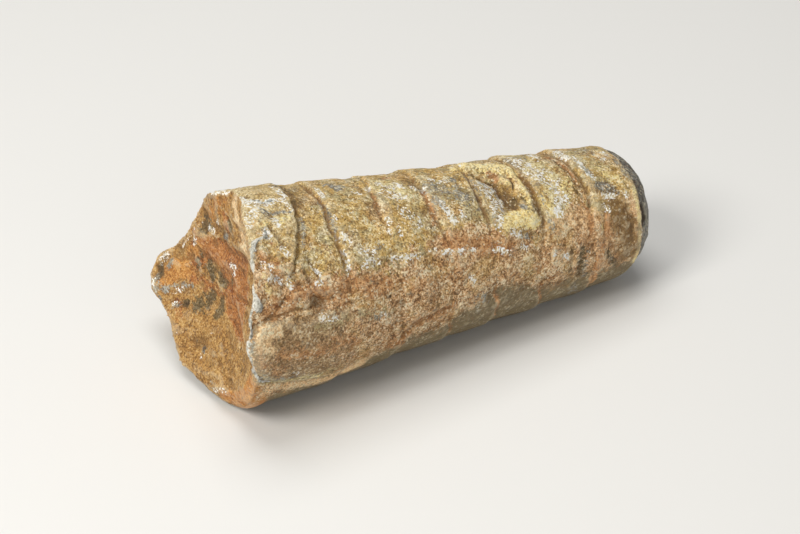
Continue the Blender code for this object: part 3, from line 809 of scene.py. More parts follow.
RUST = [
    # on the far side
    ([(-6.0, -84), (-2.0, -90), (2.0, -86)], 1.6, 1.4, 0.8),
    ([(12.0, -88), (17.0, -92), (20.0, -86)], 1.8, 1.5, 0.7),
    ([(30.0, -80), (36.0, -84)], 1.8, 1.5, 0.7),
    ([(16.8, -70), (17.2, -90), (17.6, -104)], 0.5, 0.5, 0.7),
    ([(33.6, -70), (34.0, -96)], 0.4, 0.4, 0.7),
    ([(-12.6, 36), (-11.4, 42), (-11.0, 50)], 1.2, 1.2, 0.8),
    # on the flank: the red under the upper layer, the brown band and the grooves near the base
    ([(-13.0, 65), (-11.6, 65), (-9.9, 63), (-8.6, 58)], 1.2, 0.9, 1.0),
    ([(-7.4, 60), (-5.4, 59), (-3.2, 65), (-1.5, 68.5)], 1.0, 0.8, 1.0),
    ([(5.6, 66), (4.6, 68), (2.4, 69)], 0.9, 0.8, 1.0),
    ([(8.3, 111), (9.2, 106), (10.3, 100), (12.9, 98), (16.8, 94)], 0.75, 0.6, 1.0),
    ([(-2.5, 94), (-0.3, 94), (0.8, 98)], 0.8, 0.8, 0.8),
    ([(7.4, 114), (7.0, 110)], 0.7, 0.6, 0.8),
    ([(9.4, 112), (8.8, 115), (8.7, 123)], 0.24, 0.5, 0.95),
    ([(0.5, 104), (0.5, 112), (0.2, 118), (-0.5, 127)], 0.36, 0.4, 0.9),
    ([(-10.2, 30), (-9.6, 36)], 0.6, 0.5, 0.5),
    ([(17.2, 51), (20.0, 55), (23.0, 59), (26.0, 63)], 1.6, 1.4, 0.85),
    ([(-1.0, 60), (2.0, 64)], 1.8, 1.4, 0.8),
    ([(-11.5, 62), (-10.0, 64)], 1.4, 1.0, 0.8),
    ([(16.5, 12), (16.3, 20), (16.0, 30), (15.6, 37)], 0.5, 0.5, 0.85),
    ([(8.7, 6), (8.3, 15), (7.9, 24)], 0.4, 0.4, 0.6),
    ([(7.0, 69), (9.0, 73), (11.0, 70)], 1.4, 1.2, 0.5),
    ([(14.5, 68), (20.0, 72)], 2.0, 1.6, 0.35),
    ([(16.4, 92), (16.8, 97), (16.7, 107), (17.7, 118), (17.9, 126)], 0.24, 0.5, 0.95),
    ([(10.4, 96), (8.4, 104), (7.0, 108)], 1.2, 1.0, 0.6),
    ([(24.2, 88), (23.9, 94), (24.8, 103), (25.2, 112), (25.5, 122)], 0.24, 0.6, 0.95),
    ([(32.6, 100), (32.4, 106), (33.2, 115), (33.9, 126)], 0.26, 0.3, 0.95),
    ([(43.0, 82), (42.6, 90), (42.4, 98), (42.4, 107), (42.9, 121)], 0.65, 0.5, 1.25),
    ([(44.3, 58), (44.1, 66), (44.0, 74)], 0.5, 0.45, 0.9),
    ([(41.6, 36), (41.6, 46), (41.2, 60), (41.0, 72)], 0.5, 0.5, 0.7),
    ([(31.0, 84), (31.6, 86)], 0.5, 0.4, 0.9),
    ([(40.2, -10), (41.2, 0), (41.3, 14), (41.4, 26)], 0.5, 0.4, 0.75),
    ([(28.8, 1.5), (29.5, 5), (29.4, 8)], 0.4, 0.3, 1.0),
    ([(29.6, 9), (30.2, 12)], 0.4, 0.4, 0.45),
    ([(12.6, -12), (13.4, -8)], 0.5, 0.5, 0.6),
    ([(-3.4, 118), (1.6, 115), (6.0, 109)], 0.9, 0.8, 0.5),
    ([(-8.8, 92), (-5.4, 93), (-2.6, 94)], 1.8, 1.6, 0.55),
    ([(-13.9, 96), (-11.5, 100)], 1.2, 1.0, 0.45),
    ([(-15.6, 84), (-15.1, 88), (-14.6, 93)], 0.7, 0.7, 0.7),
    ([(-12.6, 88), (-10.3, 91), (-8.6, 93), (-4.6, 95)], 1.0, 1.0, 0.75),
    ([(-0.6, 84), (3.0, 88)], 1.4, 1.2, 0.35),
]
FACE_RED = [
    ([(-8.2, 3.0), (-4.0, 4.2), (0.4, 5.2)], 1.9, 1.0, 1.0),
    ([(-4.5, 2.0), (-1.0, 1.6), (2.0, 2.4)], 2.3, 1.0, 1.0),
    ([(0.0, -1.2), (3.2, -1.8)], 2.7, 1.2, 1.0),
    ([(-2.4, -0.4), (-1.2, -2.2)], 1.6, 1.0, 0.9),
    ([(2.6, -3.6), (3.6, -4.4)], 1.0, 1.2, 0.5),
    ([(-7.0, -1.6), (-8.4, -2.6)], 1.2, 1.0, 0.6),
    ([(-14.0, 1.0), (-12.0, 2.4), (-9.9, 3.4), (-7.0, 4.6)], 0.9, 1.0, 0.8),
    ([(-12.0, -0.8), (-10.4, 1.0), (-8.4, 2.4)], 1.5, 1.2, 0.75),
    ([(-12.0, -3.2), (-9.6, -2.6), (-5.4, -2.2), (-1.8, -0.8)], 1.0, 1.2, 0.65),
    ([(1.5, 3.8), (2.8, 1.6), (3.6, 0.0)], 1.4, 1.0, 1.0),
    ([(-12.4, -7.6), (-9.8, -8.2)], 0.9, 0.8, 0.5),
    ([(-6.0, 9.8), (-4.8, 8.2)], 0.9, 0.7, 0.7),
    ([(-14.8, 2.4), (-12.2, 3.6)], 0.7, 0.6, 0.5),
]
FACE_ORANGE = [
    ([(-17.2, -5.6), (-16.2, -4.8), (-15.0, -3.4), (-13.4, -2.8)], 1.5, 0.8, 1.0),
    ([(-14.0, -0.6), (-12.2, 1.0)], 1.2, 0.8, 0.8),
    ([(-12.6, -9.4), (-10.0, -9.6)], 1.2, 1.0, 0.4),
]
CREAM = [
    ([(27.0, 46), (28.6, 45), (30.0, 46), (31.3, 49)], 1.4, 0.6, 1.0),
    ([(29.9, 10), (30.6, 15)], 0.5, 0.4, 0.9),
    ([(24.8, -10), (27.4, -7), (29.5, -3), (31.4, 1), (32.2, 6)], 1.1, 0.7, 1.0),
    ([(-12.8, 37), (-12.2, 43), (-13.2, 50), (-12.6, 55)], 0.7, 0.6, 0.35),
    ([(-9.8, 45), (-9.0, 50)], 0.8, 0.7, 0.5),
    ([(-7.6, 18), (-6.4, 17)], 0.9, 0.6, 0.8),
    ([(-9.8, 18), (-10.6, 22)], 0.8, 0.7, 0.5),
    ([(-6.6, 40), (-3.0, 42), (-2.0, 34)], 1.6, 1.2, 0.35),
    ([(38.6, 28), (40.0, 20)], 1.1, 0.9, 0.6),
    ([(34.2, 36), (34.6, 44)], 0.9, 0.7, 0.7),
    ([(46.6, 20), (47.6, 28)], 1.4, 1.1, 0.6),
    ([(43.2, 62), (42.9, 74)], 0.3, 0.3, 0.4),
    ([(50.4, 40), (50.2, 60), (50.1, 87), (50.1, 110)], 0.5, 0.4, 0.8),
    ([(32.1, 9), (32.2, 24), (31.9, 38)], 0.45, 0.4, 0.85),
    ([(-14.0, 110), (-9.4, 114), (-2.7, 119)], 0.5, 0.45, 0.5),
]
# Painted shade: dark strokes in the holes, slits, pits and cracks of the flank and the dome, where shadow
# falls.
HOLE_SHADE = [
    ([(25.0, 12), (24.8, 20)], 0.25, 0.25, 0.9),
    ([(25.2, 2), (25.6, 4)], 0.2, 0.2, 0.8),
    ([(31.2, 12), (31.2, 17), (30.9, 20)], 0.16, 0.16, 1.0),
    ([(28.9, 12), (28.8, 18), (29.1, 22)], 0.16, 0.2, 0.8),
    ([(28.2, 8), (29.0, 9.5)], 0.22, 0.2, 0.9),
    ([(29.3, 30), (29.6, 34)], 0.2, 0.25, 0.5),
    ([(51.5, 57), (51.7, 66), (51.8, 72)], 0.5, 0.3, 1.0),
    ([(52.3, 45), (52.3, 54)], 0.3, 0.3, 0.8),
    ([(32.8, 111), (33.6, 122)], 0.12, 0.15, 0.8),
    ([(6.1, 75), (6.15, 75)], 0.25, 0.2, 1.0),
    ([(-9.45, 107), (-9.4, 107)], 0.28, 0.2, 1.0),
    ([(50.0, 70), (50.6, 74), (51.0, 74)], 0.4, 0.4, 0.5),
]
# Painted shade in the pits and hollows of the broken face.
FACE_HOLE_SHADE = [
    ([(5.3, -4.3), (5.2, -4.8)], 0.22, 0.2, 1.0),
    ([(-11.0, -6.9), (-10.7, -6.7)], 0.25, 0.3, 0.8),
    ([(-18.4, -4.1), (-18.2, -4.0)], 0.2, 0.2, 0.8),
    ([(-17.6, -3.7), (-17.5, -3.6)], 0.2, 0.2, 0.7),
    ([(-18.7, -5.3), (-18.4, -6.0)], 0.25, 0.3, 0.7),
    ([(7.0, -6.9), (7.2, -7.2)], 0.18, 0.2, 0.9),
    ([(-3.4, -9.8), (-3.1, -9.7)], 0.25, 0.2, 0.9),
]
PINK_CREAM = [
    ([(-12.0, 13), (-11.0, 20), (-11.6, 28)], 1.1, 1.0, 0.5),
    ([(-14.8, 73), (-13.6, 75), (-12.5, 76)], 0.9, 0.7, 1.0),
    ([(-15.3, 76), (-14.7, 82), (-13.6, 83)], 1.0, 0.7, 1.0),
    ([(-15.2, 86), (-14.9, 92), (-14.2, 97)], 0.5, 0.6, 0.5),
    ([(-10.5, 72), (-6.0, 73), (-3.0, 75)], 0.7, 0.6, 0.4),
    ([(-4.0, 80), (-1.0, 82), (2.0, 86)], 1.2, 1.0, 0.35),
    ([(-8.6, 70), (-6.8, 71)], 0.6, 0.5, 0.6),
    ([(6.0, 76), (9.0, 84)], 1.2, 1.0, 0.3),
    ([(3.2, 102), (1.6, 104)], 1.3, 1.1, 0.5),
    ([(33.4, 78), (35.2, 84)], 0.9, 0.8, 0.75),
    ([(37.0, 83), (38.0, 90)], 0.7, 0.7, 0.7),
    ([(36.0, 57), (40.0, 54)], 1.9, 1.6, 0.6),
    ([(27.0, 76), (31.0, 74)], 1.8, 1.6, 0.5),
    ([(20.0, 84), (26.0, 80)], 1.6, 1.5, 0.45),
    # the strip between the plate and the ground
    ([(-12.6, 117), (-8.0, 123), (-3.0, 127), (3.0, 123)], 1.3, 1.0, 1.0),
]
PALE = [
    ([(34.6, -24), (36.4, -10), (36.6, 4)], 2.2, 2.0, 0.7),
    ([(35.6, 6), (37.2, 20), (37.4, 34), (36.4, 46)], 2.2, 1.6, 0.95),
    ([(39.6, 8), (40.0, 22), (39.2, 34)], 0.9, 0.8, 0.6),
    ([(43.6, -10), (44.6, 6), (45.0, 16)], 1.0, 1.0, 0.7),
    ([(10.6, 0), (13.6, 6), (14.6, 14)], 1.8, 1.4, 0.8),
    ([(18.0, 12), (18.6, 24), (18.4, 38)], 0.6, 0.7, 0.55),
    ([(20.0, 28), (21.4, 36)], 0.9, 0.8, 0.35),
    ([(24.8, -10), (27.0, -6), (28.6, 0), (29.6, 6)], 1.4, 1.0, 0.7),
    ([(26.0, 20), (26.4, 30)], 0.9, 0.7, 0.6),
    ([(2.6, 12), (5.0, 20), (5.6, 30)], 1.3, 1.2, 0.4),
    ([(-7.0, 74), (-4.4, 76), (-3.2, 80)], 0.9, 0.8, 0.5),
    ([(-10.2, 76), (-9.0, 84)], 0.6, 0.6, 0.4),
    ([(-9.6, 8), (-11.4, 12)], 1.2, 1.0, 0.6),
    ([(-14.2, 62), (-12.6, 58)], 0.9, 0.8, 0.5),
]
DULL = [
    ([(17.4, 10), (20.0, 16), (22.4, 24), (23.0, 34)], 2.0, 1.6, 0.9),
    ([(12.6, 24), (14.4, 34)], 1.6, 1.4, 0.5),
    ([(4.0, -16), (5.0, 0)], 1.6, 1.4, 0.6),
    ([(46.0, 6), (47.0, 24)], 1.8, 1.6, 0.6),
    ([(-6.2, 79), (-3.6, 80), (1.1, 79), (3.0, 83), (4.8, 82)], 0.9, 0.9, 0.6),
    # the smooth lower edge of the plate
    ([(-14.8, 101), (-12.3, 109), (-8.7, 115), (-5.5, 117), (-1.0, 117)], 1.0, 0.9, 0.85),
]
# The beige side of the break under the upper layer.
FACE_BEIGE = [
    ([(-3.6, 13.4), (-2.2, 11.6), (-0.2, 9.8), (2.2, 8.2)], 1.2, 1.0, 0.85),
]
# The worn, orange tan lip under the face, and where it runs on below the plate.
FACE_LIP = [
    ([(5.2, -12.4), (8.8, -10.6), (12.4, -7.6)], 1.2, 0.9, 1.0),
    ([(-11.0, 7.2), (-8.8, 10.0), (-6.6, 11.6)], 1.5, 1.4, 0.55),
]
FLANK_LIP = [
    ([(-15.6, 112), (-14.0, 120), (-13.0, 132), (-13.6, 150)], 1.5, 1.0, 0.95),
    ([(-12.4, 118), (-8.0, 124), (-3.5, 128), (2.0, 124)], 0.9, 0.8, 0.7),
]
# Where the pale ochre of the top gives way to the pink tan flank: (mm along the axis, degrees).
OCHRE_EDGE = [
    (-16, 36), (-12.9, 38), (-10.9, 42), (-7.7, 47), (-4.8, 52), (-1.5, 53), (3.5, 54), (8.4, 53), (13, 48),
    (16.8, 43), (21, 43), (24.1, 48), (25.3, 54), (30.5, 59), (34, 50), (39.5, 43), (43.6, 47), (47.2, 51),
    (51, 52),
]
# Where the worn strip above the resting side starts.
WORN_EDGE = [
    (-16, 130), (-7, 127), (-1, 125), (1.1, 122), (4.2, 120), (7.6, 116), (8.6, 112), (15.4, 111),
    (17.6, 107), (19.8, 100), (22.8, 95), (24.7, 90), (28.4, 95), (32.4, 102), (36, 105), (40, 103),
    (43, 101), (47.3, 106), (50, 102),
]
# Each stain, and the painted shade in holes, with its strokes on the flank and its strokes on the broken
# face.
STAINS_AND_SHADE = [
    ("crust", WHITE_CRUST, FACE_CRUST),
    ("grey", GREY, FACE_GREY),
    ("brown", BROWN_AND_SHADE, []),
    ("olive", OLIVE, FACE_OLIVE),
    ("rust", RUST, []),
    ("red", [], FACE_RED),
    ("orange", [], FACE_ORANGE),
    ("dull", DULL, []),
    ("pale", PALE, []),
    ("cream", CREAM, []),
    ("pink_cream", PINK_CREAM, FACE_BEIGE),
    ("hole_shade", HOLE_SHADE, FACE_HOLE_SHADE),
]


def keep(piece, name, values):
    attribute = piece.data.attributes.new(name, "FLOAT", "POINT")
    attribute.data.foreach_set("value", np.clip(values, 0.0, 1.0).astype(np.float32))


def strokes(stone, lines, where, ragged):
    painted = np.zeros(len(stone.t))
    for points, half_width, softness, strength in lines:
        distance = where(stone, points) + 0.12 * ragged
        painted = np.maximum(painted, strength * band(distance, half_width, softness))
    return painted


def past_edge(stone, edge):
    """How far below an edge of (mm along the axis, degrees) points each vertex lies, in mm."""
    arc = np.pi / 180.0 * cone_radius(stone.t)
    return (np.abs(stone.angle) - np.interp(stone.t, *zip(*edge))) * arc


def suture_stain_and_shade(stone, ragged, jagged):
    """The dark line in each suture's groove and just before it, partly a brown stain and partly painted
    shade.
    """
    groove = np.zeros(len(stone.t))
    for bends, depth, width, _, _, fade_angle, rest in SUTURES:
        past = suture_line(stone, bends) + 0.22 * ragged + 0.12 * jagged
        share = groove_share(stone, fade_angle, rest) * min(depth / 0.5, 1.0)
        groove = np.maximum(groove, share * between(past, -1.1, 0.0, width - 0.1, width + 0.2))
    return groove


def paint(piece, stone, flat_face):
    """The stains and the painted shade, each kept as an attribute from 0 to 1 that the material mixes in."""
    ragged = stone.noise(1.6, 1)
    jagged = stone.noise(0.7, 3)
    wander = stone.noise(5.0, 8)
    face = smooth_step(0.35, 0.75, flat_face)
    flank = 1.0 - face
    outside = smooth_step(2.8, 1.8, cone_radius(stone.t) - stone.radius)
    past_ochre = past_edge(stone, OCHRE_EDGE)
    worn = past_edge(stone, WORN_EDGE)
    plate = smooth_step(-0.2, 0.5, plate_inside(stone, ragged)) * (1.0 - smooth_step(-8.0, 5.0, stone.t))
    pale_layer = smooth_step(-0.1, 0.3, layer_inside(stone, ragged)) * flank
    lip = strokes(stone, FACE_LIP, on_face, ragged) * face
    for name, flank_lines, face_lines in STAINS_AND_SHADE:
        on_side = strokes(stone, flank_lines, on_flank, ragged) * flank
        keep(piece, name, np.maximum(on_side, strokes(stone, face_lines, on_face, ragged) * face))
    keep(piece, "fracture", face)
    keep(piece, "pink_flank", smooth_step(-2.8, 2.4, past_ochre + 2.0 * wander + 0.8 * ragged))
    # the worn strip above the resting side: its own grey olive, painted darker as shade on the underside
    keep(piece, "worn_shaded_base", smooth_step(-3.0, 2.2, worn + 1.2 * wander + 0.6 * ragged) * flank)
    keep(piece, "plate", plate * flank)
    keep(piece, "pale_layer", pale_layer * (1.0 - 0.6 * smooth_step(18, 32, stone.angle)))
    keep(piece, "far_dome", smooth_step(50.9, 51.5, stone.t + 0.15 * ragged))
    keep(piece, "shell", strokes(stone, SHELL, on_flank, 0.6 * ragged) * outside)
    keep(piece, "lip", np.maximum(lip, strokes(stone, FLANK_LIP, on_flank, ragged) * outside))
    # the dark band in the suture grooves, partly stain and partly painted shade
    keep(piece, "groove", suture_stain_and_shade(stone, ragged, jagged) * flank)
    # where the stone is smoother and quieter: below, on the plate and towards the dome
    below = smooth_step(-1.0, 2.0, worn)
    last = smooth_step(41.5, 44.0, stone.t) * between(stone.angle, 36, 52, 110, 140)
    calmer = smooth_step(28.0, 40.0, stone.t) * smooth_step(36, 52, stone.angle)
    last = np.maximum(last, 0.6 * calmer)
    keep(piece, "polished", flank * np.maximum(np.maximum(below, 0.2 * plate), 0.75 * last))
    lively = 1.0 - 0.2 * smooth_step(-1.0, 1.0, past_ochre) - 0.4 * below
    lively = np.minimum(lively, 1.0 - 0.6 * np.maximum(0.5 * plate, last))
    keep(piece, "lively", flank * lively + face * 0.5)
    # the rise over the smoothed surface, which the material turns into pale crests (partly a painted
    # highlight) and painted shade in the hollows
    keep(piece, "relief", 0.5 + hollows(piece, 6) / 0.16 + hollows(piece, 40) / 0.6)


class Pigments:
    """Helpers that add the stone's shader nodes; sizes are in millimetres."""

    def __init__(self, material):
        self.tree = material.node_tree
        self.shader = self.tree.nodes["Principled BSDF"]
        self.place = self.add("ShaderNodeTexCoord").outputs["Object"]
        self.bedded_place = self.shifted(self.place, "MULTIPLY", (1.0, 0.4, 1.0))
        self.drawn_place = self.shifted(self.place, "MULTIPLY", (0.3, 1.0, 1.0))

    def add(self, kind, **settings):
        node = self.tree.nodes.new(kind)
        for name, value in settings.items():
            setattr(node, name, value)
        return node

    def link(self, source, socket):
        if isinstance(source, (int, float)):
            socket.default_value = source
        elif isinstance(source, tuple):
            socket.default_value = (*source, 1.0)
        else:
            self.tree.links.new(source, socket)

    def shifted(self, where, operation, by):
        node = self.add("ShaderNodeVectorMath", operation=operation)
        self.link(where, node.inputs[0])
        node.inputs[1].default_value = by
        return node.outputs[0]

    def mask(self, name):
        return self.add("ShaderNodeAttribute", attribute_name=name).outputs["Fac"]

    def grain(self, size, detail=3.0, roughness=0.6, shift=0.0, where=None):
        """Cloudy grain with lumps of that size, from its own corner of the pattern."""
        node = self.add("ShaderNodeTexNoise")
        where = where or self.place
        if shift:
            where = self.shifted(where, "ADD", (shift, shift, shift))
        self.link(where, node.inputs["Vector"])
        self.link(1.0 / (size * MM), node.inputs["Scale"])
        self.link(detail, node.inputs["Detail"])
        self.link(roughness, node.inputs["Roughness"])
        return node.outputs["Fac"]

    def cells(self, size):
        node = self.add("ShaderNodeTexVoronoi")
        self.link(self.place, node.inputs["Vector"])
        self.link(1.0 / (size * MM), node.inputs["Scale"])
        return node

    def pores(self, size):
        return self.cells(size).outputs["Distance"]

    def crystals(self, size):
        """A random value and a second one for each grain of that size."""
        parts = self.add("ShaderNodeSeparateColor")
        self.link(self.cells(size).outputs["Color"], parts.inputs[0])
        return parts.outputs[0], parts.outputs[1]

    def total(self, *shares):
        """The sum of some values, each with its weight."""
        result = None
        for value, weight in shares:
            part = self.math("MULTIPLY", value, weight)
            result = part if result is None else self.math("ADD", result, part)
        return result

    def math(self, operation, first, second=0.0):
        node = self.add("ShaderNodeMath", operation=operation)
        self.link(first, node.inputs[0])
        self.link(second, node.inputs[1])
        return node.outputs[0]

    def stretch(self, value, low, high, start=0.0, end=1.0):
        node = self.add("ShaderNodeMapRange", interpolation_type="SMOOTHSTEP")
        for socket, number in zip(node.inputs, (value, low, high, start, end)):
            self.link(number, socket)
        return node.outputs[0]

    def blend(self, share, under, over):
        node = self.add("ShaderNodeMix", data_type="RGBA")
        self.link(share, node.inputs["Factor"])
        self.link(under, node.inputs[6])
        self.link(over, node.inputs[7])
        return node.outputs[2]

    def tones(self, value, *stops):
        node = self.add("ShaderNodeValToRGB")
        ramp = node.color_ramp
        while len(ramp.elements) < len(stops):
            ramp.elements.new(0.5)
        for element, (position, *colour) in zip(ramp.elements, stops):
            element.position = position
            element.color = (*colour, 1.0)
        self.link(value, node.inputs[0])
        return node.outputs[0]

    def ragged(self, name, breakup, reach, low, high):
        """A painted mask with its edge broken up by a noise, the more the further that reaches."""
        painted = self.mask(name)
        spread = self.math("MULTIPLY", self.math("SUBTRACT", breakup, 0.5), reach)
        fade = self.stretch(painted, 0.0, 0.3)
        value = self.math("ADD", painted, self.math("MULTIPLY", spread, fade))
        return self.stretch(value, low, high)


# Each stain's colours, from its darkest grains to its palest: place on the scale, then red, green and blue.
TONES = {
    "ochre": [
        (0.0, 0.206, 0.112, 0.024), (0.42, 0.577, 0.365, 0.1),
        (0.75, 0.793, 0.565, 0.223), (1.0, 0.99, 0.87, 0.558),
    ],
    "chalky": [
        (0.0, 0.302, 0.216, 0.072), (0.42, 0.759, 0.608, 0.274),
        (0.75, 0.926, 0.814, 0.451), (1.0, 0.99, 0.968, 0.71),
    ],
    "olive_grey": [
        (0.0, 0.144, 0.104, 0.043), (0.42, 0.422, 0.327, 0.148),
        (0.75, 0.597, 0.495, 0.262), (1.0, 0.865, 0.772, 0.508),
    ],
    "pink_tan": [
        (0.0, 0.09, 0.038, 0.01), (0.38, 0.49, 0.262, 0.103),
        (0.7, 0.75, 0.47, 0.23), (1.0, 0.99, 0.84, 0.59),
    ],
    "fracture_ochre": [
        (0.0, 0.15, 0.066, 0.013), (0.42, 0.43, 0.222, 0.06),
        (0.8, 0.57, 0.34, 0.11), (1.0, 0.72, 0.5, 0.22),
    ],
    "fracture_red": [
        (0.0, 0.16, 0.041, 0.008), (0.42, 0.43, 0.158, 0.036),
        (0.8, 0.55, 0.235, 0.066), (1.0, 0.65, 0.36, 0.14),
    ],
    "fracture_orange": [(0.0, 0.27, 0.09, 0.013), (0.45, 0.54, 0.23, 0.047), (1.0, 0.74, 0.42, 0.137)],
    "patch_olive": [(0.0, 0.06, 0.04, 0.013), (0.45, 0.125, 0.082, 0.029), (1.0, 0.31, 0.22, 0.1)],
    "plate_brown": [(0.0, 0.09, 0.047, 0.016), (0.45, 0.36, 0.214, 0.089), (1.0, 0.76, 0.56, 0.31)],
    "umber": [(0.0, 0.09, 0.044, 0.011), (0.45, 0.21, 0.115, 0.034), (1.0, 0.36, 0.23, 0.09)],
    "dome_grey": [(0.0, 0.036, 0.033, 0.028), (0.5, 0.13, 0.126, 0.106), (1.0, 0.37, 0.36, 0.33)],
    # grey olive of the worn base, painted darker as shade on the underside
    "shaded_base_olive": [(0.0, 0.1, 0.07, 0.029), (0.5, 0.2, 0.148, 0.071), (1.0, 0.31, 0.245, 0.132)],
    "layer_cream": [(0.0, 0.24, 0.145, 0.041), (0.42, 0.62, 0.43, 0.164), (1.0, 0.95, 0.82, 0.501)],
    "slate_grey": [(0.0, 0.06, 0.055, 0.046), (0.5, 0.23, 0.218, 0.182), (1.0, 0.6, 0.585, 0.51)],
    "lip_tan": [(0.0, 0.29, 0.092, 0.014), (0.45, 0.54, 0.212, 0.04), (1.0, 0.74, 0.39, 0.11)],
    "rust": [(0.0, 0.17, 0.056, 0.015), (0.45, 0.5, 0.232, 0.078), (1.0, 0.8, 0.5, 0.24)],
    "pink_cream": [(0.0, 0.38, 0.205, 0.088), (0.45, 0.94, 0.63, 0.315), (1.0, 0.99, 0.9, 0.63)],
    "cream": [
        (0.0, 0.4, 0.25, 0.07), (0.42, 0.99, 0.77, 0.29),
        (0.75, 0.98, 0.86, 0.44), (1.0, 0.99, 0.95, 0.7),
    ],
}
CRUST_TONES = [(0.0, 0.36, 0.29, 0.18), (0.5, 0.84, 0.79, 0.66), (1.0, 1.0, 0.99, 0.95)]
SHELL_TONES = [(0.40, 0.24, 0.25, 0.22), (0.48, 0.52, 0.52, 0.47), (0.62, 0.84, 0.84, 0.80)]
# painted shade in the holes, slits and pits
HOLE_SHADE_BROWN = (0.050, 0.030, 0.014)
# the suture grooves' band, partly brown stain and partly painted shade
GROOVE_STAIN_AND_SHADE = (0.27, 0.135, 0.042)
# dark grains and cracks, and the painted shade in the hollows
SHADE_AND_GRAIN_BROWN = (0.14, 0.075, 0.028)
RUST_DOT = (0.40, 0.17, 0.055)
GREY_DOT = (0.62, 0.52, 0.34)
# pale flecks, and the pale crests, partly worn pale and partly a painted highlight
PALE_DUST_AND_HIGHLIGHT = (0.92, 0.82, 0.58)
# The mixed grain's middle value, round which the polished parts are evened out.
MIDDLE = 0.49


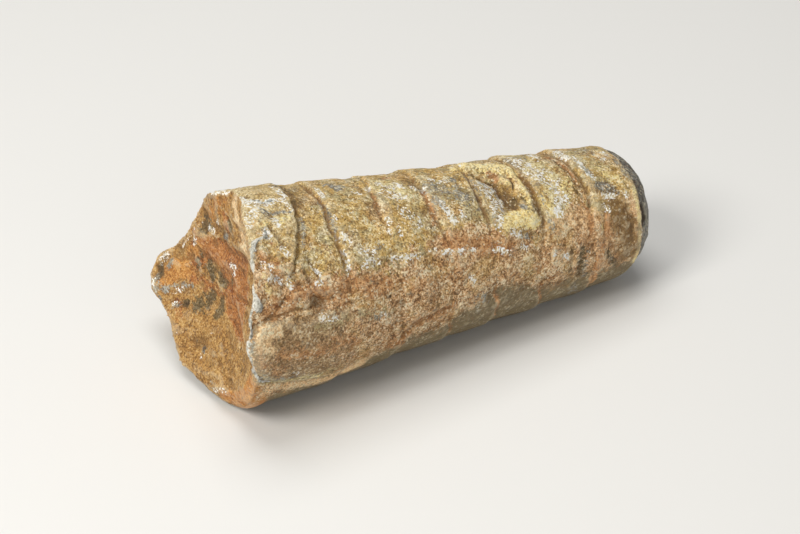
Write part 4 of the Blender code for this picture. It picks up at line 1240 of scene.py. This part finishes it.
def stained_limestone():
    material = bpy.data.materials.new("stained_limestone")
    material.use_nodes = True
    stone = Pigments(material)
    fine = stone.grain(0.27, 2.0, 0.7)
    mottle = stone.grain(2.1, 5.0, 0.68, 5.3)
    blotch = stone.grain(5.0, 3.0, 0.55, 9.7)
    hue = stone.grain(2.6, 5.0, 0.72, 13.1)
    tint = stone.grain(0.6, 3.0, 0.7, 21.3)
    edge = stone.grain(0.9, 3.0, 0.65, 17.9)
    small, small_hue = stone.crystals(0.26)
    large, large_hue = stone.crystals(0.65)
    flake = stone.total((stone.grain(0.6, 4.0, 0.75, 25.1), 0.6), (small, 0.2), (large_hue, 0.2))
    streak = stone.grain(0.9, 4.0, 0.65, 37.1, where=stone.drawn_place)
    mixed = stone.total((fine, 0.46), (mottle, 0.22), (streak, 0.18), (small, 0.10), (large, 0.04))
    polish = stone.mask("polished")
    spread = stone.math("SUBTRACT", 1.0, stone.math("MULTIPLY", polish, 0.4))
    mixed = stone.math("ADD", stone.math("MULTIPLY", stone.math("SUBTRACT", mixed, MIDDLE), spread), MIDDLE)
    tone = stone.stretch(mixed, 0.345, 0.655)
    shade = {name: stone.tones(tone, *stops) for name, stops in TONES.items()}
    shade["pink_tan"] = stone.tones(stone.stretch(mixed, 0.375, 0.62), *TONES["pink_tan"])
    face_fine = stone.grain(0.3, 3.0, 0.7, 2.9)
    face_flake = stone.grain(0.6, 4.0, 0.75, 7.7, where=stone.bedded_place)
    face_mottle = stone.grain(1.9, 4.0, 0.6, 31.3, where=stone.bedded_place)
    face_tone = stone.stretch(stone.total((face_fine, 0.56), (face_mottle, 0.28), (small, 0.16)), 0.33, 0.67)
    for name in ("fracture_ochre", "fracture_red", "fracture_orange", "patch_olive"):
        shade[name] = stone.tones(face_tone, *TONES[name])

    colour = stone.blend(stone.stretch(hue, 0.46, 0.60), shade["ochre"], shade["olive_grey"])
    colour = stone.blend(stone.stretch(blotch, 0.52, 0.36, 0.0, 0.5), colour, shade["pink_tan"])
    flank = shade["pink_tan"]
    for value, low, high, strength, tones in (
        (blotch, 0.50, 0.68, 0.50, "ochre"),
        (hue, 0.54, 0.66, 0.40, "olive_grey"),
        (streak, 0.50, 0.34, 0.45, "rust"),
    ):
        flank = stone.blend(stone.stretch(value, low, high, 0.0, strength), flank, shade[tones])
    red = stone.ragged("red", face_flake, 2.0, 0.3, 0.7)
    broken = stone.blend(red, shade["fracture_ochre"], shade["fracture_red"])
    for name, breakup, reach, low, high, over in (
        ("pale", flake, 2.6, 0.25, 0.9, shade["chalky"]),
        ("pale_layer", edge, 1.8, 0.4, 0.6, shade["layer_cream"]),
        ("pink_flank", flake, 2.2, 0.3, 0.7, flank),
        ("plate", edge, 1.8, 0.4, 0.6, shade["plate_brown"]),
        ("dull", flake, 2.0, 0.25, 0.9, shade["olive_grey"]),
        # the worn base: grey olive, partly painted shade on the underside
        ("worn_shaded_base", flake, 1.4, 0.2, 0.9, shade["shaded_base_olive"]),
        ("fracture", edge, 1.8, 0.4, 0.6, broken),
        ("orange", face_flake, 1.8, 0.3, 0.8, shade["fracture_orange"]),
        ("lip", edge, 1.4, 0.2, 0.8, shade["lip_tan"]),
        ("olive", face_flake, 3.0, 0.2, 0.62, shade["patch_olive"]),
        ("cream", flake, 2.0, 0.3, 0.85, shade["cream"]),
        ("pink_cream", edge, 1.6, 0.3, 0.9, shade["pink_cream"]),
        # brown, partly stain and partly painted shade in grooves, pits and the last chamber
        ("brown", flake, 1.6, 0.25, 0.9, shade["umber"]),
        ("rust", flake, 1.6, 0.25, 0.85, shade["rust"]),
        ("grey", flake, 3.0, 0.4, 0.85, shade["slate_grey"]),
    ):
        colour = stone.blend(stone.ragged(name, breakup, reach, low, high), colour, over)
    colour = stone.blend(stone.mask("far_dome"), colour, shade["dome_grey"])
    # grains of another hue, dark grains and pale flecks
    lively = stone.mask("lively")
    on_break = stone.mask("fracture")
    dusty = stone.math("MULTIPLY", lively, stone.stretch(on_break, 0.0, 1.0, 1.0, 0.35))
    for share, low, high, strength, grain_colour, where in (
        (tint, 0.54, 0.70, 0.45, RUST_DOT, lively),
        (tint, 0.46, 0.30, 0.40, GREY_DOT, lively),
        (small_hue, 0.90, 0.95, 0.60, SHADE_AND_GRAIN_BROWN, lively),
        (stone.pores(0.5), 0.20, 0.08, 0.45, SHADE_AND_GRAIN_BROWN, on_break),
        (stone.total((small_hue, -0.7), (mottle, 1.0)), 0.44, 0.47, 0.80, PALE_DUST_AND_HIGHLIGHT, dusty),
    ):
        share = stone.math("MULTIPLY", stone.stretch(share, low, high, 0.0, strength), where)
        colour = stone.blend(share, colour, grain_colour)
    speck = stone.grain(0.3, 3.0, 0.8, 41.7)
    flecks = stone.total((speck, 0.55), (small, 0.3), (stone.grain(1.0, 2.0, 0.6, 47.9), 0.15))
    haze = stone.math("MULTIPLY", stone.ragged("crust", flake, 2.0, 0.25, 0.8), 0.5)
    colour = stone.blend(haze, colour, shade["chalky"])
    white = stone.tones(stone.stretch(flecks, 0.36, 0.62), *CRUST_TONES)
    colour = stone.blend(stone.ragged("crust", flecks, 4.4, 0.5, 0.85), colour, white)
    shell = stone.tones(flake, *SHELL_TONES)
    colour = stone.blend(stone.ragged("shell", edge, 1.2, 0.3, 0.6), colour, shell)
    # fine broken cracks
    path = stone.grain(1.5, 3.0, 0.6, 53.3)
    crack = stone.stretch(stone.math("ABSOLUTE", stone.math("SUBTRACT", path, 0.5)), 0.016, 0.004)
    crack = stone.math("MULTIPLY", crack, stone.stretch(mottle, 0.44, 0.60))
    crack = stone.math("MULTIPLY", crack, lively)
    colour = stone.blend(stone.math("MULTIPLY", crack, 0.5), colour, SHADE_AND_GRAIN_BROWN)
    # pale on the crests, partly worn pale and partly a painted highlight; painted shade in the hollows; in
    # the grooves a brown band, partly stain and partly painted shade; painted shade in the holes
    relief = stone.mask("relief")
    colour = stone.blend(stone.stretch(relief, 0.65, 1.0, 0.0, 0.20), colour, PALE_DUST_AND_HIGHLIGHT)
    colour = stone.blend(stone.stretch(relief, 0.40, 0.0, 0.0, 0.5), colour, SHADE_AND_GRAIN_BROWN)
    # the brown band in and before each suture's groove, partly stain and partly painted shade
    groove = stone.ragged("groove", flake, 1.2, 0.3, 0.9)
    colour = stone.blend(stone.math("MULTIPLY", groove, 0.55), colour, GROOVE_STAIN_AND_SHADE)
    # painted shade in the holes, slits and pits
    hole_shade = stone.ragged("hole_shade", flake, 1.6, 0.35, 0.9)
    colour = stone.blend(stone.math("MULTIPLY", hole_shade, 0.85), colour, HOLE_SHADE_BROWN)
    stone.link(colour, stone.shader.inputs["Base Color"])

    rough = stone.stretch(fine, 0.3, 0.7, 0.50, 0.86)
    rough = stone.math("SUBTRACT", rough, stone.math("MULTIPLY", stone.mask("crust"), 0.2))
    rough = stone.math("SUBTRACT", rough, stone.math("MULTIPLY", polish, 0.18))
    stone.link(rough, stone.shader.inputs["Roughness"])
    stone.link(0.4, stone.shader.inputs["Specular IOR Level"])

    bumps = stone.grain(1.2, 3.0, 0.6, 5.3)
    height = stone.total((stone.grain(0.38, 4.0, 0.75), 0.34), (bumps, 0.36), (small, 0.06), (large, 0.08))
    face_bumps = stone.grain(1.1, 3.0, 0.6, 5.3, where=stone.bedded_place)
    face_height = stone.total((face_fine, 0.32), (face_bumps, 0.36))
    rise = stone.math("SUBTRACT", face_height, height)
    height = stone.math("ADD", height, stone.math("MULTIPLY", rise, on_break))
    pits = stone.stretch(stone.pores(0.9), 0.05, 0.28, -0.10, 0.0)
    height = stone.math("ADD", height, pits)
    height = stone.math("SUBTRACT", height, stone.math("MULTIPLY", crack, 0.1))
    height = stone.math("MULTIPLY", height, stone.stretch(polish, 0.0, 1.0, 1.0, 0.35))
    bump = stone.add("ShaderNodeBump")
    stone.link(1.0, bump.inputs["Strength"])
    stone.link(MM, bump.inputs["Distance"])
    stone.link(height, bump.inputs["Height"])
    stone.link(bump.outputs[0], stone.shader.inputs["Normal"])
    return material


def fossil_stone():
    piece = rough_out()
    flat_face = face_share(Stone(piece))
    stone = carve(piece)
    paint(piece, stone, flat_face)
    piece.data.materials.append(stained_limestone())
    return piece


# The middle of the stone, which the lights point at, in metres.
LIT_PLACE = Vector((0, 0, 0.01))
FLOOR_SIZE = 3.0
FLOOR_COLOUR = (0.72, 0.72, 0.71, 1.0)
SKY_COLOUR = (1.0, 0.98, 0.95, 1.0)
SKY_STRENGTH = 0.28


def build_floor():
    bpy.ops.mesh.primitive_plane_add(size=FLOOR_SIZE, location=(0, 0, 0))
    floor = bpy.context.object
    floor.name = "floor"
    material = bpy.data.materials.new("pale_floor")
    material.use_nodes = True
    shader = material.node_tree.nodes["Principled BSDF"]
    shader.inputs["Base Color"].default_value = FLOOR_COLOUR
    shader.inputs["Roughness"].default_value = 0.8
    floor.data.materials.append(material)


def area_light(name, place, size, power, colour):
    data = bpy.data.lights.new(name, "AREA")
    data.size = size
    data.energy = power
    data.color = colour
    light = bpy.data.objects.new(name, data)
    light.location = place
    light.rotation_euler = (LIT_PLACE - Vector(place)).to_track_quat("-Z", "Y").to_euler()
    bpy.context.scene.collection.objects.link(light)


def build_lights():
    area_light("key", (-0.36, -0.10, 0.36), 0.20, 1.75, (1.0, 0.97, 0.92))
    area_light("top", (0.0, 0.12, 0.50), 0.35, 1.36, (1.0, 0.99, 0.96))
    area_light("fill", (-0.05, -0.50, 0.25), 0.35, 0.45, (1.0, 0.98, 0.95))
    world = bpy.data.worlds.new("studio")
    world.use_nodes = True
    background = world.node_tree.nodes["Background"]
    background.inputs["Color"].default_value = SKY_COLOUR
    background.inputs["Strength"].default_value = SKY_STRENGTH
    bpy.context.scene.world = world


# Where the camera stands, which way is right and up in its view, and its lens and film width in mm.
CAMERA_PLACE = Vector((-146.61, -250.67, 204.32)) * MM
CAMERA_RIGHT = Vector((0.8695, -0.4939, 0.0061))
CAMERA_UP = Vector((0.2719, 0.4887, 0.8290))
LENS = 108.0
FILM_WIDTH = 36.0


def build_camera():
    data = bpy.data.cameras.new("camera")
    data.lens = LENS
    data.sensor_width = FILM_WIDTH
    data.clip_start = 0.01
    data.clip_end = 10.0
    camera = bpy.data.objects.new("camera", data)
    right = CAMERA_RIGHT.normalized()
    back = right.cross(CAMERA_UP).normalized()
    up = back.cross(right)
    rotation = Matrix((right, up, back)).transposed().to_4x4()
    camera.matrix_world = Matrix.Translation(CAMERA_PLACE) @ rotation
    bpy.context.scene.collection.objects.link(camera)
    bpy.context.scene.camera = camera


bpy.ops.object.select_all(action="DESELECT")
piece = fossil_stone()
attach(piece, "root")
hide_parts(NODE)
build_floor()
build_lights()
build_camera()
bpy.context.scene.view_settings.view_transform = "Standard"
